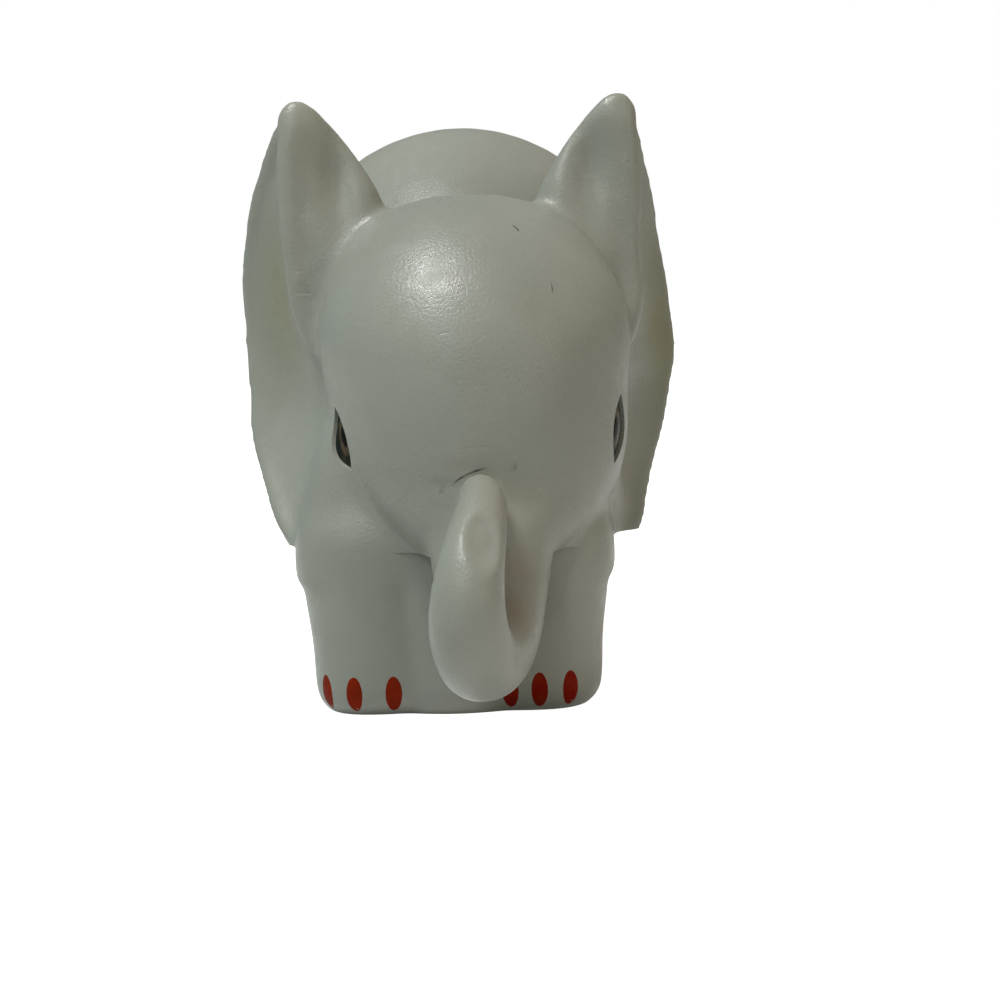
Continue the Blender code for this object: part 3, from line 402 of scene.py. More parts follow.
# Eyes against the solids: tilt, width, height, turn about the pin and drop; then the iris and the pupil
EYE_TILTS = {"right": -30.0, "left": -14.0}
EYE_SLIM = {"right": 0.66, "left": 1.05}
EYE_TALL = 1.14
EYE_SHIFT = {"right": 0.0, "left": -2.0}
EYE_LOWER = 0.3
EYE_CLEAR = (0.06, 0.1)
IRIS_AHEAD, IRIS_HALF = 0.2, (1.3, 2.4)
PUPIL_AHEAD, PUPIL_HALF = 0.5, (0.66, 1.35)
# Heights over the skin from the border to the middle, and of the underside
POCKET_LAYERS = ((3, 3), -0.95)
EYE_LAYERS = ((-0.5, -0.36, -0.27, -0.22, -0.2), -0.9)
IRIS_LAYERS = ((-0.3, -0.19, -0.16), -0.6)
PUPIL_LAYERS = ((-0.2, -0.13, -0.11), -0.5)
NAIL_LAYERS = ((-0.05, 0.02, 0.035, 0.04, 0.045, 0.05), -0.25)
NAIL_STRETCH = (1.1, 1.26)
# The paint of eyes and nails reflects little
PAINT_IOR = 1.15

# The camera: where it stands from the neck pin, how it is held, its lens and its sensor
EYE_FROM_PIN = (9.491, -269.756, 55.0)
CAMERA_PITCH = 6.6
CAMERA_ROLL = 2.0
CAMERA_YAW = 1.4
LENS, SENSOR = 75.6, 36.0

# Light: the air's colours from two sides and its strength, the floor, and the lamps' aim in m
AIR_COOL = (0.46, 0.7, 0.7)
AIR_WARM = (0.97, 0.86, 0.69)
AIR_STRENGTH = 0.38
WHITE = (1.0, 1.0, 1.0)
FLOOR_SIZE = 6
FLOOR_COLOUR = (0.7, 0.7, 0.7)
FLOOR_GLOW = 0.92
FLOOR_IN_GLOSS = 0.3
LAMP_AIM_Z = 0.045
# The lamps: name, direction, distance and width in m, watts and colour
LAMPS = (
    ("key", (-0.33, -0.16, 0.93), 0.6, 0.15, 2.9, (0.99, 1.0, 0.99)),
    ("window", (-0.27, -0.72, 0.63), 0.6, 0.07, 0.4, (1.0, 1.0, 0.98)),
    ("warm_fill", (0.75, -0.6, 0.35), 0.6, 0.35, 0.34, (1.0, 0.9, 0.76)),
)

PIN = Vector(frame["record"]["behaviour"]["joints"][0]["pos_m"]) / MM
SHIFT = Vector((PIN.x - NECK_SHIFT, PIN.y - NECK_Y, 0))


def spline(rows, steps):
    """The rows with further ones between them on a smooth curve through all."""
    rows = [tuple(map(float, row)) for row in rows]
    ends = [rows[0], *rows, rows[-1]]
    made = []
    for a, b, c, d in zip(ends, ends[1:], ends[2:], ends[3:]):
        for i in range(steps):
            t = i / steps
            row = []
            for p, q, r, s in zip(a, b, c, d):
                bend = (2 * p - 5 * q + 4 * r - s) * t**2
                row.append(q + ((r - p) * t + bend + (3 * q - p - 3 * r + s) * t**3) / 2)
            made.append(tuple(row))
    return made + [rows[-1]]


def sized(shares, *sizes):
    """Rows of shares as lengths, each column by its own size."""
    return [tuple(share * size for share, size in zip(row, sizes)) for row in shares]


def placed(name, data):
    obj = bpy.data.objects.new(name, data)
    scene.collection.objects.link(obj)
    return obj


def make(name, points, faces):
    """A mesh object from points in mm, facing outwards."""
    mesh = bpy.data.meshes.new(name)
    mesh.from_pydata([tuple(c * MM for c in point) for point in points], [], faces)
    work = bmesh.new()
    work.from_mesh(mesh)
    bmesh.ops.recalc_face_normals(work, faces=work.faces)
    if work.calc_volume(signed=True) < 0:
        bmesh.ops.reverse_faces(work, faces=work.faces)
    work.to_mesh(mesh)
    work.free()
    return placed(name, mesh)


def ring_faces(count, rings):
    """Quads between rings of count points each."""
    faces = []
    for a in range(0, (rings - 1) * count, count):
        for j in range(count):
            k = (j + 1) % count
            faces.append((a + j, a + k, a + count + k, a + count + j))
    return faces


def loft(name, rings):
    """A closed skin over rings of equally many points, with a fan over each end."""
    count = len(rings[0])
    points = [point for ring in rings for point in ring]
    faces = ring_faces(count, len(rings))
    for start, ring in ((0, rings[0]), (len(points) - count, rings[-1])):
        middle = tuple(sum(c) / count for c in zip(*ring))
        faces += [(start + j, start + (j + 1) % count, len(points)) for j in range(count)]
        points.append(middle)
    return make(name, points, faces)


def curve_power(value, power):
    return math.copysign(abs(value) ** (2 / power), value)


def turns(count):
    return [2 * math.pi * (i + 0.5) / count for i in range(count)]


def flat_oval(x, y, z, a, b, power=2.0, count=28):
    """A level oval, or a rounded rectangle where power is over 2."""
    points = []
    for i in range(count):
        t = 2 * math.pi * i / count
        c, s = curve_power(math.cos(t), power), curve_power(math.sin(t), power)
        points.append((x + a * c, y + b * s, z))
    return points


def rod(name, x, y, low, high, radius, count):
    ring = oval_outline(radius, radius, count)
    return loft(name, [[(x + u, y + v, z) for u, v in ring] for z in (low, high)])


def box(name, low, high):
    (x0, y0, z0), (x1, y1, z1) = low, high
    return loft(name, [[(x0, y0, z), (x1, y0, z), (x1, y1, z), (x0, y1, z)] for z in (z0, z1)])


def tube(name, path, count):
    """A round tube along (x, y, z, radius) points, with rounded ends left to the remesh."""
    middles = [Vector(p[:3]) for p in path]
    side = Vector((1, 0, 0))
    rings = []
    for i, (middle, point) in enumerate(zip(middles, path)):
        along = (middles[min(i + 1, len(path) - 1)] - middles[max(i - 1, 0)]).normalized()
        side = (side - along * side.dot(along)).normalized()
        up = along.cross(side)
        r = point[3]
        rings.append([tuple(middle + (side * math.cos(t) + up * math.sin(t)) * r) for t in turns(count)])
    return loft(name, rings)


def ball(name, x, y, z, a, b, c, count=20):
    rings = []
    for i in range(1, 12):
        polar = math.pi * i / 12
        wide, deep = a * math.sin(polar), b * math.sin(polar)
        rings.append(flat_oval(x, y, z - c * math.cos(polar), wide, deep, count=count))
    return loft(name, rings)


def settled(obj):
    """The object's modifiers put into its mesh."""
    graph = bpy.context.evaluated_depsgraph_get()
    graph.update()
    mesh = bpy.data.meshes.new_from_object(obj.evaluated_get(graph))
    obj.modifiers.clear()
    obj.data = mesh
    return obj


def combined(obj, other, operation):
    """The object cut by or joined to the other one, which is then removed."""
    modifier = obj.modifiers.new(operation.lower(), "BOOLEAN")
    modifier.operation = operation
    modifier.solver = "MANIFOLD"
    modifier.object = other
    settled(obj)
    bpy.data.objects.remove(other, do_unlink=True)
    return obj


def cut(obj, *others):
    for other in others:
        combined(obj, other, "DIFFERENCE")
    return obj


def join(obj, *others):
    for other in others:
        combined(obj, other, "UNION")
    return obj


def surface_of(obj):
    work = bmesh.new()
    work.from_mesh(obj.data)
    tree = BVHTree.FromBMesh(work)
    work.free()
    return tree


def oval_outline(a, b, count):
    return [(a * math.cos(t), b * math.sin(t)) for t in turns(count)]


def almond_outline(front, back, height, count=24):
    """Pointed at the top and bottom, with its front side flatter than its back."""
    rows = [-1 + 2 * i / count for i in range(count + 1)]
    forward = [(front * (1 - v * v), v * height) for v in rows]
    backward = [(-back * (1 - v * v), v * height) for v in reversed(rows[1:-1])]
    return forward + backward


def facing(turn, drop=0.0):
    """The direction that lies turn degrees to the left of straight ahead and drop degrees down."""
    turn, drop = math.radians(turn), math.radians(drop)
    return Vector((math.sin(turn) * math.cos(drop), -math.cos(turn) * math.cos(drop), -math.sin(drop)))


def barrel(name, inset=0.0, start=None):
    rings = []
    rows = sized(BODY_SHARES, BODY_LENGTH, BODY_HALF_WIDTH, BODY_HEIGHT, BODY_HEIGHT, BODY_HEIGHT)
    rump = RUMP_SHARE * BODY_LENGTH
    for along, half, low, wide, high in spline(rows, 1 if inset else 3):
        if start is not None and BODY_START + along < start:
            continue
        half, low, high = half - inset, low + inset, high - inset
        if along > rump:
            along = rump + (along - rump) * (1 - inset / (BODY_LENGTH - rump))
        ring = []
        for t in turns(20 if inset else 36):
            c, s = math.cos(t), math.sin(t)
            if s > 0:
                ring.append((half * c, BODY_START + along, wide + (high - wide) * s))
            else:
                drop = (wide - low) * curve_power(s, BELLY_POWER)
                ring.append((half * curve_power(c, BELLY_POWER), BODY_START + along, wide + drop))
        rings.append(ring)
    if inset:
        rings = [ring for ring in rings if max(p[0] for p in ring) > inset]
    return loft(name, rings)


def leg_pair(name, shares, web_shares, height, span, middle, reach, width):
    """Both legs of a pair, and the web that closes the space between them."""
    made = []
    for side in (-1, 1):
        rings = []
        for z, outer, front, back, half in spline(shares, 3):
            centre = middle + (back - front) / 2 * reach
            deep, half = (front + back) / 2 * reach, half * width
            x = side * (outer * span - half)
            rings.append(flat_oval(x, centre, z * height, half, deep, LEG_POWER))
        made.append(loft(name, rings))
    low, half, front, back, top = web_shares
    near = (-half * width, middle - front * reach, low * height)
    made.append(box(name, near, (half * width, middle + back * reach, top * height)))
    return made


def arch_cutter():
    """The tunnel between front and hind legs, as a rounded arch pushed through sideways."""
    r, low = ARCH_CORNER, ARCH_TOP - ARCH_CORNER
    quarter = [math.pi / 8 * i for i in range(5)]
    rows = [(ARCH_FRONT, -OVERRUN)]
    rows += [(ARCH_FRONT + r - r * math.cos(t), low + r * math.sin(t)) for t in quarter]
    rows += [(ARCH_BACK - r + r * math.sin(t), low + r * math.cos(t)) for t in quarter]
    rows.append((ARCH_BACK, -OVERRUN))
    return loft("arch", [[(x, y, z) for y, z in rows] for x in (-OVERRUN, OVERRUN)])


def body_cavity():
    """The hollow of the body, open underneath from foot to foot and clear of the well."""
    hollow = barrel("cavity", BODY_WALL, start=ARCH_FRONT + SINK)
    under, front_end = SHELF_Z - SHELF_T, ARCH_FRONT - SINK
    near, far = ARCH_BACK + HIND_HOLLOW_WALL, HOLLOW_END - STEP
    low, high = HIND_HOLLOW_LOW, HIND_HOLLOW_TOP
    join(hollow, box("hind_hollow", (-HIND_HOLLOW, near, low), (HIND_HOLLOW, far, high)))
    low, high = (-OVERRUN, -OVERRUN, under - STEP / 2), (OVERRUN, SHOULDER_Y + WALL, OVERRUN - STEP)
    well = rod("well_wall", NECK_SHIFT, NECK_Y, under, OVERRUN, WELL_R + WALL, 40)
    cut(hollow, well, box("shoulder_wall", low, high))
    low, high = (-FRONT_HOLLOW, HOLLOW_START, -OVERRUN), (FRONT_HOLLOW, front_end, under)
    join(hollow, box("front_hollow", low, high))
    low = (-LONG_HOLLOW, front_end - ARCH_CORNER, -OVERRUN - STEP)
    return join(hollow, box("long_hollow", low, (LONG_HOLLOW, HOLLOW_END, under - STEP)))


def head_cavity():
    rings = []
    for z, a, y, b in skull_rows()[3:-1]:
        level = CAVITY_MIDDLE + (z - CAVITY_MIDDLE) * CAVITY_SHARE
        rings.append(flat_oval(0, y, level, a - HEAD_WALL, b - HEAD_WALL, 2.0, 24))
    return join(loft("cavity", rings), rod("opening", 0, 0, 0, HEAD_BOSS_TOP, FLOOR_R + GAP, 28))


def skull_rows():
    return sized(SKULL_SHARES, SKULL_TOP, SKULL_HALF_WIDTH, SKULL_HALF_DEPTH, SKULL_HALF_DEPTH)


def ear_lean(side, z):
    """How far the ear leans outwards at a height."""
    left, right = (LEFT_LEAN_SHARES, LEFT_EAR_MORE), (RIGHT_LEAN_SHARES, RIGHT_EAR_MORE)
    shares, more = left if side > 0 else right
    rows = spline(sized(shares, EAR_TOP, EAR_LEAN), 6)
    lean = rows[-1][1]
    for (low, a), (high, b) in zip(rows, rows[1:]):
        if z <= high:
            lean = a + (b - a) * max(0.0, z - low) / (high - low)
            break
    return lean + float(np.interp(z, *zip(*more)))


def turned(obj):
    """A form of the head, made about the neck pin with the face ahead, in its place at rest."""
    turn = Matrix.Rotation(math.radians(HEAD_TURN), 4, "Z")
    obj.data.transform(Matrix.Translation((NECK_SHIFT * MM, NECK_Y * MM, 0)) @ turn)
    return obj


def merged(name, forms, voxel):
    """One skin of quads over overlapping forms."""
    work = bmesh.new()
    for form in forms:
        work.from_mesh(form.data)
        bpy.data.objects.remove(form, do_unlink=True)
    mesh = bpy.data.meshes.new(name)
    work.to_mesh(mesh)
    work.free()
    obj = placed(name, mesh)
    remesh = obj.modifiers.new("skin", "REMESH")
    remesh.mode = "VOXEL"
    remesh.voxel_size = voxel * MM
    return settled(obj)


def of_vertices(obj, what):
    found = np.empty(len(obj.data.vertices) * 3, np.float32)
    obj.data.vertices.foreach_get(what, found)
    return found.reshape(-1, 3)


def places(obj):
    """The vertices of a mesh in mm."""
    return of_vertices(obj, "co") / MM


def put(obj, found):
    obj.data.vertices.foreach_set("co", (found * MM).astype(np.float32).ravel())
    obj.data.update()


def relax(obj, rounds, weights=None, swing=0.0):
    """Each vertex drawn towards its neighbours by its weight, and back every other round by a swing."""
    edges = np.empty(len(obj.data.edges) * 2, np.int32)
    obj.data.edges.foreach_get("vertices", edges)
    a, b = edges.reshape(-1, 2).T
    found = places(obj).astype(np.float64)
    count = len(found)
    near = np.bincount(a, minlength=count) + np.bincount(b, minlength=count)
    near = np.maximum(near, 1)[:, None]
    share = 0.5 if weights is None else 0.5 * weights[:, None]
    for turn in range(rounds):
        total = np.empty_like(found)
        for i in range(3):
            total[:, i] = np.bincount(a, found[b, i], count) + np.bincount(b, found[a, i], count)
        way = -swing if swing and turn % 2 else 1
        found += way * share * (total / near - found)
    put(obj, found)


def bump(found, place, size):
    """1 at a place, falling smoothly to 0 over the three sizes."""
    off = (found - np.array(place)) / np.array(size)
    return np.exp(-(off**2).sum(1) * 1.5)


def smooth_step(value, low, high):
    t = np.clip((value - low) / (high - low), 0, 1)
    return t * t * (3 - 2 * t)


def face_ahead(found):
    """Places of the body's frame as seen by the head with its face straight ahead."""
    x, y = found[:, 0] - NECK_SHIFT, found[:, 1] - NECK_Y
    return np.column_stack((x * TURN_COS + y * TURN_SIN, y * TURN_COS - x * TURN_SIN, found[:, 2]))


def neck_forms():
    """The front legs, the chest between them and the skirt over them, which both skins share."""
    front = (FRONT_LEG_HEIGHT, FRONT_LEG_SPAN, FRONT_LEG_Y, FRONT_LEG_REACH, FRONT_LEG_HALF)
    forms = leg_pair("front_leg", FRONT_LEG_SHARES, FRONT_WEB_SHARES, *front)
    rows = sized(SKIRT_SHARES, SKIRT_HEIGHT, FRONT_LEG_SPAN, SKIRT_HALF_DEPTH, SKIRT_HALF_DEPTH)
    skirt = []
    for up, half, back, deep in spline(rows, 5):
        skirt.append(flat_oval(0, SKIRT_Y + back, SHELF_Z + up, half, deep, SKIRT_POWER, 64))
    chest = [
        flat_oval(0, CHEST_Y, SHELF_Z * up, CHEST_HALF_WIDTH * wide, CHEST_HALF_DEPTH * deep, 2.0, 48)
        for up, wide, deep in CHEST_SHARES
    ]
    return forms + [loft("skirt", skirt), loft("chest", chest)]


def ear_forms(side):
    """The ear as a cupped sheet with a rolled rim, a round edge and tip, and a thick root."""
    rings, rim, edge = [], [], []
    rows = sized(EAR_SHARES, EAR_TOP, EAR_OUT, EAR_BACK, EAR_OUT, EAR_BACK)
    for z, rim_x, rim_y, edge_x, edge_y in spline(rows, 7):
        lean = ear_lean(side, z)
        wave = WAVE_SHARE * EAR_WAVE * math.sin(2 * math.pi * z / EAR_WAVE_LENGTH)
        along = Vector((edge_x - rim_x, edge_y - rim_y))
        across = Vector((along.y, -along.x)).normalized()
        faces = ([], [])
        for j in range(CUP_STEPS + 1):
            u = j / CUP_STEPS
            middle = Vector((rim_x, rim_y)) + along * u
            middle += across * (wave * u * u - EAR_CUP * math.sin(math.pi * u) ** CUP_POWER)
            thick = EAR_THICK / 2 * (RIM_THICK_SHARE + (EDGE_THICK_SHARE - RIM_THICK_SHARE) * u)
            for row, sign in zip(faces, (1, -1)):
                place = middle + across * thick * sign
                row.append((side * (place.x + lean), place.y, z))
        rings.append(faces[0] + faces[1][::-1])
        inward = along.normalized() * EDGE_R
        last = Vector((edge_x, edge_y)) + across * wave - inward
        edge.append((side * (last.x + lean), last.y, z - EDGE_R * z / EAR_TOP, EDGE_R))
        if z > RIM_FOOT_SHARE * EAR_TOP:
            rim.append((side * (rim_x + lean), rim_y, z - RIM_R * z / EAR_TOP, RIM_R))
    root = []
    rows = sized(EAR_ROOT_SHARES, EAR_TOP, EAR_OUT, EAR_BACK, EAR_OUT, EAR_BACK)
    for z, x, y, a, b in spline(rows, 5):
        lean = ear_lean(side, z) if z > LEAN_FROM_SHARE * EAR_TOP else 0.0
        root.append(flat_oval(side * (x + lean), y, z, a, b, 2.0, 40))
    x, y = (rim[-1][0] + edge[-1][0]) / 2, (rim[-1][1] + edge[-1][1]) / 2
    tip = ball("ear_tip", x, y, EAR_TOP - TIP_BALL[2] + TIP_RAISE, *TIP_BALL)
    rolls = [tube("ear_rim", rim, 16), tube("ear_edge", edge, 16)]
    return [loft("ear_sheet", rings), loft("ear_root", root), *rolls, tip]


def head_forms():
    skull = [flat_oval(0, y, z, a, b, 2.0, 72) for z, a, y, b in spline(skull_rows(), 5)]
    neck = [flat_oval(0, 0, z, r, r, 2.0, 48) for z, r in sized(NECK_SHARES, SKULL_TOP, NECK_R)]
    rows = sized(TRUNK_SHARES, TRUNK_SWAY, TRUNK_REACH, TRUNK_TIP_Z, TRUNK_R)
    trunk = []
    for i, (x, y, z, r) in enumerate(spline(rows, TRUNK_STEPS)):
        slim = r * TIP_SLIM * float(smooth_step(i / (TRUNK_STEPS * (len(rows) - 1)), *TIP_FROM))
        trunk.append((slim - x, -y, z - slim, r - slim))
    forms = [loft("skull", skull), loft("neck", neck), tube("trunk", trunk, 36)]
    return [turned(form) for form in forms + ear_forms(-1) + ear_forms(1)]


def under_head():
    """What the head leaves free for the shelf and the chest, down to the hairline."""
    low = SHELF_Z + SEAM
    under = rod("chest_room", NECK_SHIFT, NECK_Y, -OVERRUN, low, NECK_R + CHIN_CLEARANCE, 96)
    behind = -TRUNK_REACH * TRUNK_SHARES[0][1]
    made = [turned(box("ear_room", (-OVERRUN, behind, -OVERRUN), (OVERRUN, OVERRUN, low)))]
    for side in (-1, 1):
        inner, outer = sorted((side * (TRUNK_R + TRUNK_CLEARANCE), side * OVERRUN))
        made.append(turned(box("lobe_room", (inner, -NECK_R - WALL, -OVERRUN), (outer, 0, low))))
    return join(under, *made)


def finished(obj, node, slot, body):
    """The piece named, moved into the frame, shaded smooth and set to stand for its node."""
    obj.data.transform(Matrix.Translation(SHIFT * MM))
    obj.data.shade_smooth()
    obj.data.set_sharp_from_angle(angle=math.radians(SHARP_ANGLE))
    obj.data.materials.clear()
    obj.data.materials.append(looks[slot])
    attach(obj, body)
    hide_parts(node)


def sculpt_head(obj):
    """The trunk's dish and the creases over its end, and the hollows in the ears."""
    found, out = places(obj), of_vertices(obj, "normal")
    x, y, z = face_ahead(found).T
    facing_y = out[:, 1] * TURN_COS - out[:, 0] * TURN_SIN

    # The end of the trunk: a shallow oval dish inside a soft lip
    off = np.hypot((x - DISH[0]) / DISH_HALF[0], (z - DISH[2]) / DISH_HALF[1])
    front = smooth_step(-facing_y, 0.25, 0.6) * (np.abs(y - DISH[1]) < DISH_REACH)
    inward = DISH_DEPTH * (1 - smooth_step(off, *DISH_FALL))
    inward -= LIP_PROUD * np.exp(-(((off - LIP_AT) / LIP_WIDTH) ** 2))
    move = np.outer(-inward * front, Vector((TURN_SIN, -TURN_COS, 0)))

    # The hollow between each ear's rim and the crown
    hollow = bump(np.column_stack((np.abs(x), y, z)), EAR_FACE, EAR_FACE_SIZE)
    hollow *= EAR_FACE_DEPTH * smooth_step(-facing_y, 0.1, 0.5)
    move += np.outer(hollow, Vector((-TURN_SIN, TURN_COS, 0)))

    # The creases where the trunk's end rises from the brow
    for place, size, depth in BROW_CREASES:
        near = bump(np.column_stack((x, y, z)), place, size)
        move -= (near * depth)[:, None] * out
    put(obj, found + move)
    relax(obj, LAST_ROUNDS)


def sculpt_body(obj):
    """Nothing on the body is quite even: slight swellings as in a slush-moulded toy."""
    found, out = places(obj), of_vertices(obj, "normal")
    waves = [np.sin(along * often + start) for along, (often, start) in zip(found.T, SWELL_WAVES)]
    swell = waves[0] * waves[1] * waves[2] * smooth_step(found[:, 2], *SWELL_FROM)
    put(obj, found + (swell * SWELL)[:, None] * out)


def head_skin():
    """The head in one piece with its ears and trunk, and its soft folds."""
    obj = merged("head_skin", head_forms() + neck_forms(), FINE)
    relax(obj, ROUNDS)
    x, y, z = face_ahead(places(obj)).T
    fold = bump(np.column_stack((np.abs(x), y, z)), NECK_FOLD, NECK_FOLD_SIZE)
    relax(obj, NECK_FOLD_ROUNDS, fold * smooth_step(z, SHELF_Z + 1, SHELF_Z + 3))
    x = face_ahead(places(obj))[:, 0]
    relax(obj, EAR_EDGE_ROUNDS, smooth_step(np.abs(x), *EAR_EDGE_FROM), EAR_EDGE_SWING)
    sculpt_head(obj)
    return cut(obj, under_head(), turned(head_cavity()))


def body_skin():
    """The body on its four feet, open above the shelf where the head turns."""
    hind = (HIND_LEG_HEIGHT, HIND_LEG_SPAN, HIND_LEG_Y, HIND_LEG_REACH, HIND_LEG_HALF)
    legs = neck_forms() + leg_pair("hind_leg", HIND_LEG_SHARES, HIND_WEB_SHARES, *hind)
    obj = merged("body_skin", [barrel("barrel")] + legs, FINE)
    relax(obj, ROUNDS)
    sculpt_body(obj)
    cavity = body_cavity()
    # Over the arch, the side walls run up to the shelf
    for side in (-1, 1):
        inner, outer = sorted((side * BRIDGE_HALF, side * OVERRUN))
        ends = ((ARCH_FRONT - WALL, ARCH_TOP - SINK), (ARCH_BACK + WALL + SINK, SHELF_Z + SINK))
        cut(cavity, box("bridge", (inner, *ends[0]), (outer, *ends[1])))
    shelf = SHELF_Z - SEAM
    return cut(
        obj,
        box("floor_cut", (-OVERRUN, -OVERRUN, -OVERRUN), (OVERRUN, OVERRUN, 0)),
        arch_cutter(),
        rod("well", NECK_SHIFT, NECK_Y, shelf, OVERRUN, WELL_R, 128),
        box("open_front", (-OVERRUN, -OVERRUN, shelf), (OVERRUN, SHOULDER_Y, OVERRUN - STEP)),
        cavity,
    )


def patch(name, tree, centre, outward, outline, heights, base):
    """A thin domed plate on a surface: heights run from the border to the middle, base lies below."""
    outward = Vector(outward).normalized()
    across = Vector((0, 0, 1)).cross(outward).normalized()
    up = outward.cross(across)
    centre = Vector(centre)
    count, steps = len(outline), len(heights)

    def on_surface(u, v, height):
        start = centre + across * u + up * v + outward * PROBE
        return tuple(tree.ray_cast(start * MM, -outward)[0] / MM + outward * height)

    points = [on_surface(u, v, base) for u, v in outline]
    for k, height in enumerate(heights[:-1]):
        share = 1 - k / (steps - 1)
        points += [on_surface(u * share, v * share, height) for u, v in outline]
    faces = ring_faces(count, steps)
    last = count * (steps - 1)
    faces += [(last + j, last + (j + 1) % count, len(points)) for j in range(count)]
    points.append(on_surface(0, 0, heights[-1]))
    faces += [(j, (j + 1) % count, len(points)) for j in range(count)]
    points.append(on_surface(0, 0, base))
    return make(name, points, faces)


def eyes(shell, skin):
    """Glossy almond eyes in soft recesses, each with its iris and pupil."""
    for side, word in ((-1, "right"), (1, "left")):
        ray = facing(EYE_TURNS[word] + EYE_SHIFT[word] + HEAD_TURN)
        slim, tall = EYE_SLIM[word], EYE_HALF_HEIGHT * EYE_TALL
        start = Vector((NECK_SHIFT, NECK_Y, EYE_Z - EYE_LOWER)) + ray * OVERRUN
        centre = skin.ray_cast(start * MM, -ray)[0] / MM
        out = facing(EYE_LOOK_TURNS[word] + HEAD_TURN, EYE_DROP)

        def tilted(points):
            lean = math.radians(EYE_TILTS[word]) * side
            c, s = math.cos(lean), math.sin(lean)
            return [(u * c - v * s, u * s + v * c) for u, v in points]

        def almond(less, lower):
            outline = almond_outline(EYE_FRONT * slim - less, EYE_BACK * slim - less, tall - lower)
            return tilted([(-side * u, v) for u, v in outline])

        def oval(ahead, half):
            outline = oval_outline(half[0] * slim, half[1], 32)
            return tilted([(u - side * ahead * slim, v) for u, v in outline])

        cut(shell, patch("pocket", skin, centre, out, almond(0, 0), *POCKET_LAYERS))
        for kind, slot, outline, layers in (
            ("eye", "eye_dark", almond(*EYE_CLEAR), EYE_LAYERS),
            ("iris", "iris_brown", oval(IRIS_AHEAD, IRIS_HALF), IRIS_LAYERS),
            ("pupil", "pupil_black", oval(PUPIL_AHEAD, PUPIL_HALF), PUPIL_LAYERS),
        ):
            piece = patch(f"{kind}_skin_{word}", skin, centre, out, outline, *layers)
            finished(piece, f"{kind}_{word}", slot, "head")


def toenails(skin):
    """Sprayed toenails with soft borders."""
    half = (NAIL_HALF_WIDTH * NAIL_STRETCH[0], NAIL_HALF_HEIGHT * NAIL_STRETCH[1])
    outline = oval_outline(*half, 36)
    front = (FRONT_LEG_SPAN, FRONT_LEG_Y, FRONT_LEG_REACH, 1)
    for word, sign in (("right", -1), ("left", 1)):
        hind = (HIND_LEG_SPAN, HIND_LEG_Y, HIND_LEG_REACH, sign)
        rows = [("front", shares, *front) for shares in FRONT_NAIL_SHARES[word]]
        rows += [("hind", shares, *hind) for shares in HIND_NAIL_SHARES]
        for i, (pair, (x, y, turn), span, middle, reach, mirror) in enumerate(rows):
            place = (mirror * x * span, middle + y * reach, NAIL_Z)
            label = f"{pair}_{word}_{i % 3 + 1}"
            out = facing(mirror * turn)
            nail = patch(f"nail_skin_{label}", skin, place, out, outline, *NAIL_LAYERS)
            finished(nail, f"toenail_{label}", "nail_paint", "torso")


def tail():
    """The soft tail with its tuft, finer than its solid."""
    rump, root = BODY_START + BODY_LENGTH, BODY_HEIGHT * TAIL_ROOT_SHARE
    rows = sized(TAIL_SHARES, TAIL_STANDOFF, TAIL_LENGTH, TAIL_R)
    path = [(0, rump + out, root - down, r) for out, down, r in rows]
    stem = [(0, rump + TAIL_STANDOFF * s, root, TAIL_STEM_R) for s in (STEM_END_SHARE, -TAIL_STEM_RUN)]
    forms = [tube("tail_path", spline(path, 5), 24), tube("tail_stem", stem, 24)]
    soft = merged("tail_skin", forms, TAIL_FINE)
    relax(soft, LAST_ROUNDS)
    finished(soft, "tail", "tail_rubber", "torso")


class Graph:
    """The nodes of a material or a world, with the coordinates that its patterns lie in."""

    def __init__(self, owner, coordinates="Object"):
        owner.use_nodes = True
        self.tree = owner.node_tree
        self.where = self.add("TexCoord").outputs[coordinates]

    def fill(self, socket, value):
        """A socket's value, or the link to it where the value is another node's socket."""
        if isinstance(value, bpy.types.NodeSocket):
            self.tree.links.new(value, socket)
        else:
            socket.default_value = (*value, 1) if socket.type == "RGBA" else value

    def add(self, kind, **values):
        """A node whose inputs are set by name, or by number as i0, i1 and so on."""
        node = self.tree.nodes.new("ShaderNode" + kind)
        for key, value in values.items():
            if key in ("operation", "attribute_name"):
                setattr(node, key, value)
            else:
                self.fill(node.inputs[int(key[1:]) if key[1:].isdigit() else key], value)
        return node

    def noise(self, scale, detail=2.0, rough=0.5, where=None):
        where = where or self.where
        return self.add("TexNoise", Vector=where, Scale=scale, Detail=detail, Roughness=rough).outputs[0]

    def ramp(self, value, low, high, to_low=0.0, to_high=1.0):
        """A value spread smoothly from low..high to the two given ends."""
        node = self.add("MapRange", i0=value, i1=low, i2=high, i3=to_low, i4=to_high)
        node.interpolation_type = "SMOOTHSTEP"
        return node.outputs[0]

    def mix(self, share, first, second):
        node = self.tree.nodes.new("ShaderNodeMix")
        node.data_type = "RGBA"
        for i, value in ((0, share), (6, first), (7, second)):
            self.fill(node.inputs[i], value)
        return node.outputs[2]

    def math(self, operation, a, b):
        return self.add("Math", operation=operation, i0=a, i1=b).outputs[0]

    def times(self, a, b):
        return self.math("MULTIPLY", a, b)

    def most(self, a, b):
        return self.math("MAXIMUM", a, b)

    def attribute(self, name):
        return self.add("Attribute", attribute_name=name).outputs["Fac"]

    def distance(self, place):
        ends = {"i0": self.where, "i1": tuple(place)}
        return self.add("VectorMath", operation="DISTANCE", **ends).outputs["Value"]

    def bump(self, height, strength, depth):
        return self.add("Bump", Height=height, Strength=strength, Distance=depth).outputs[0]


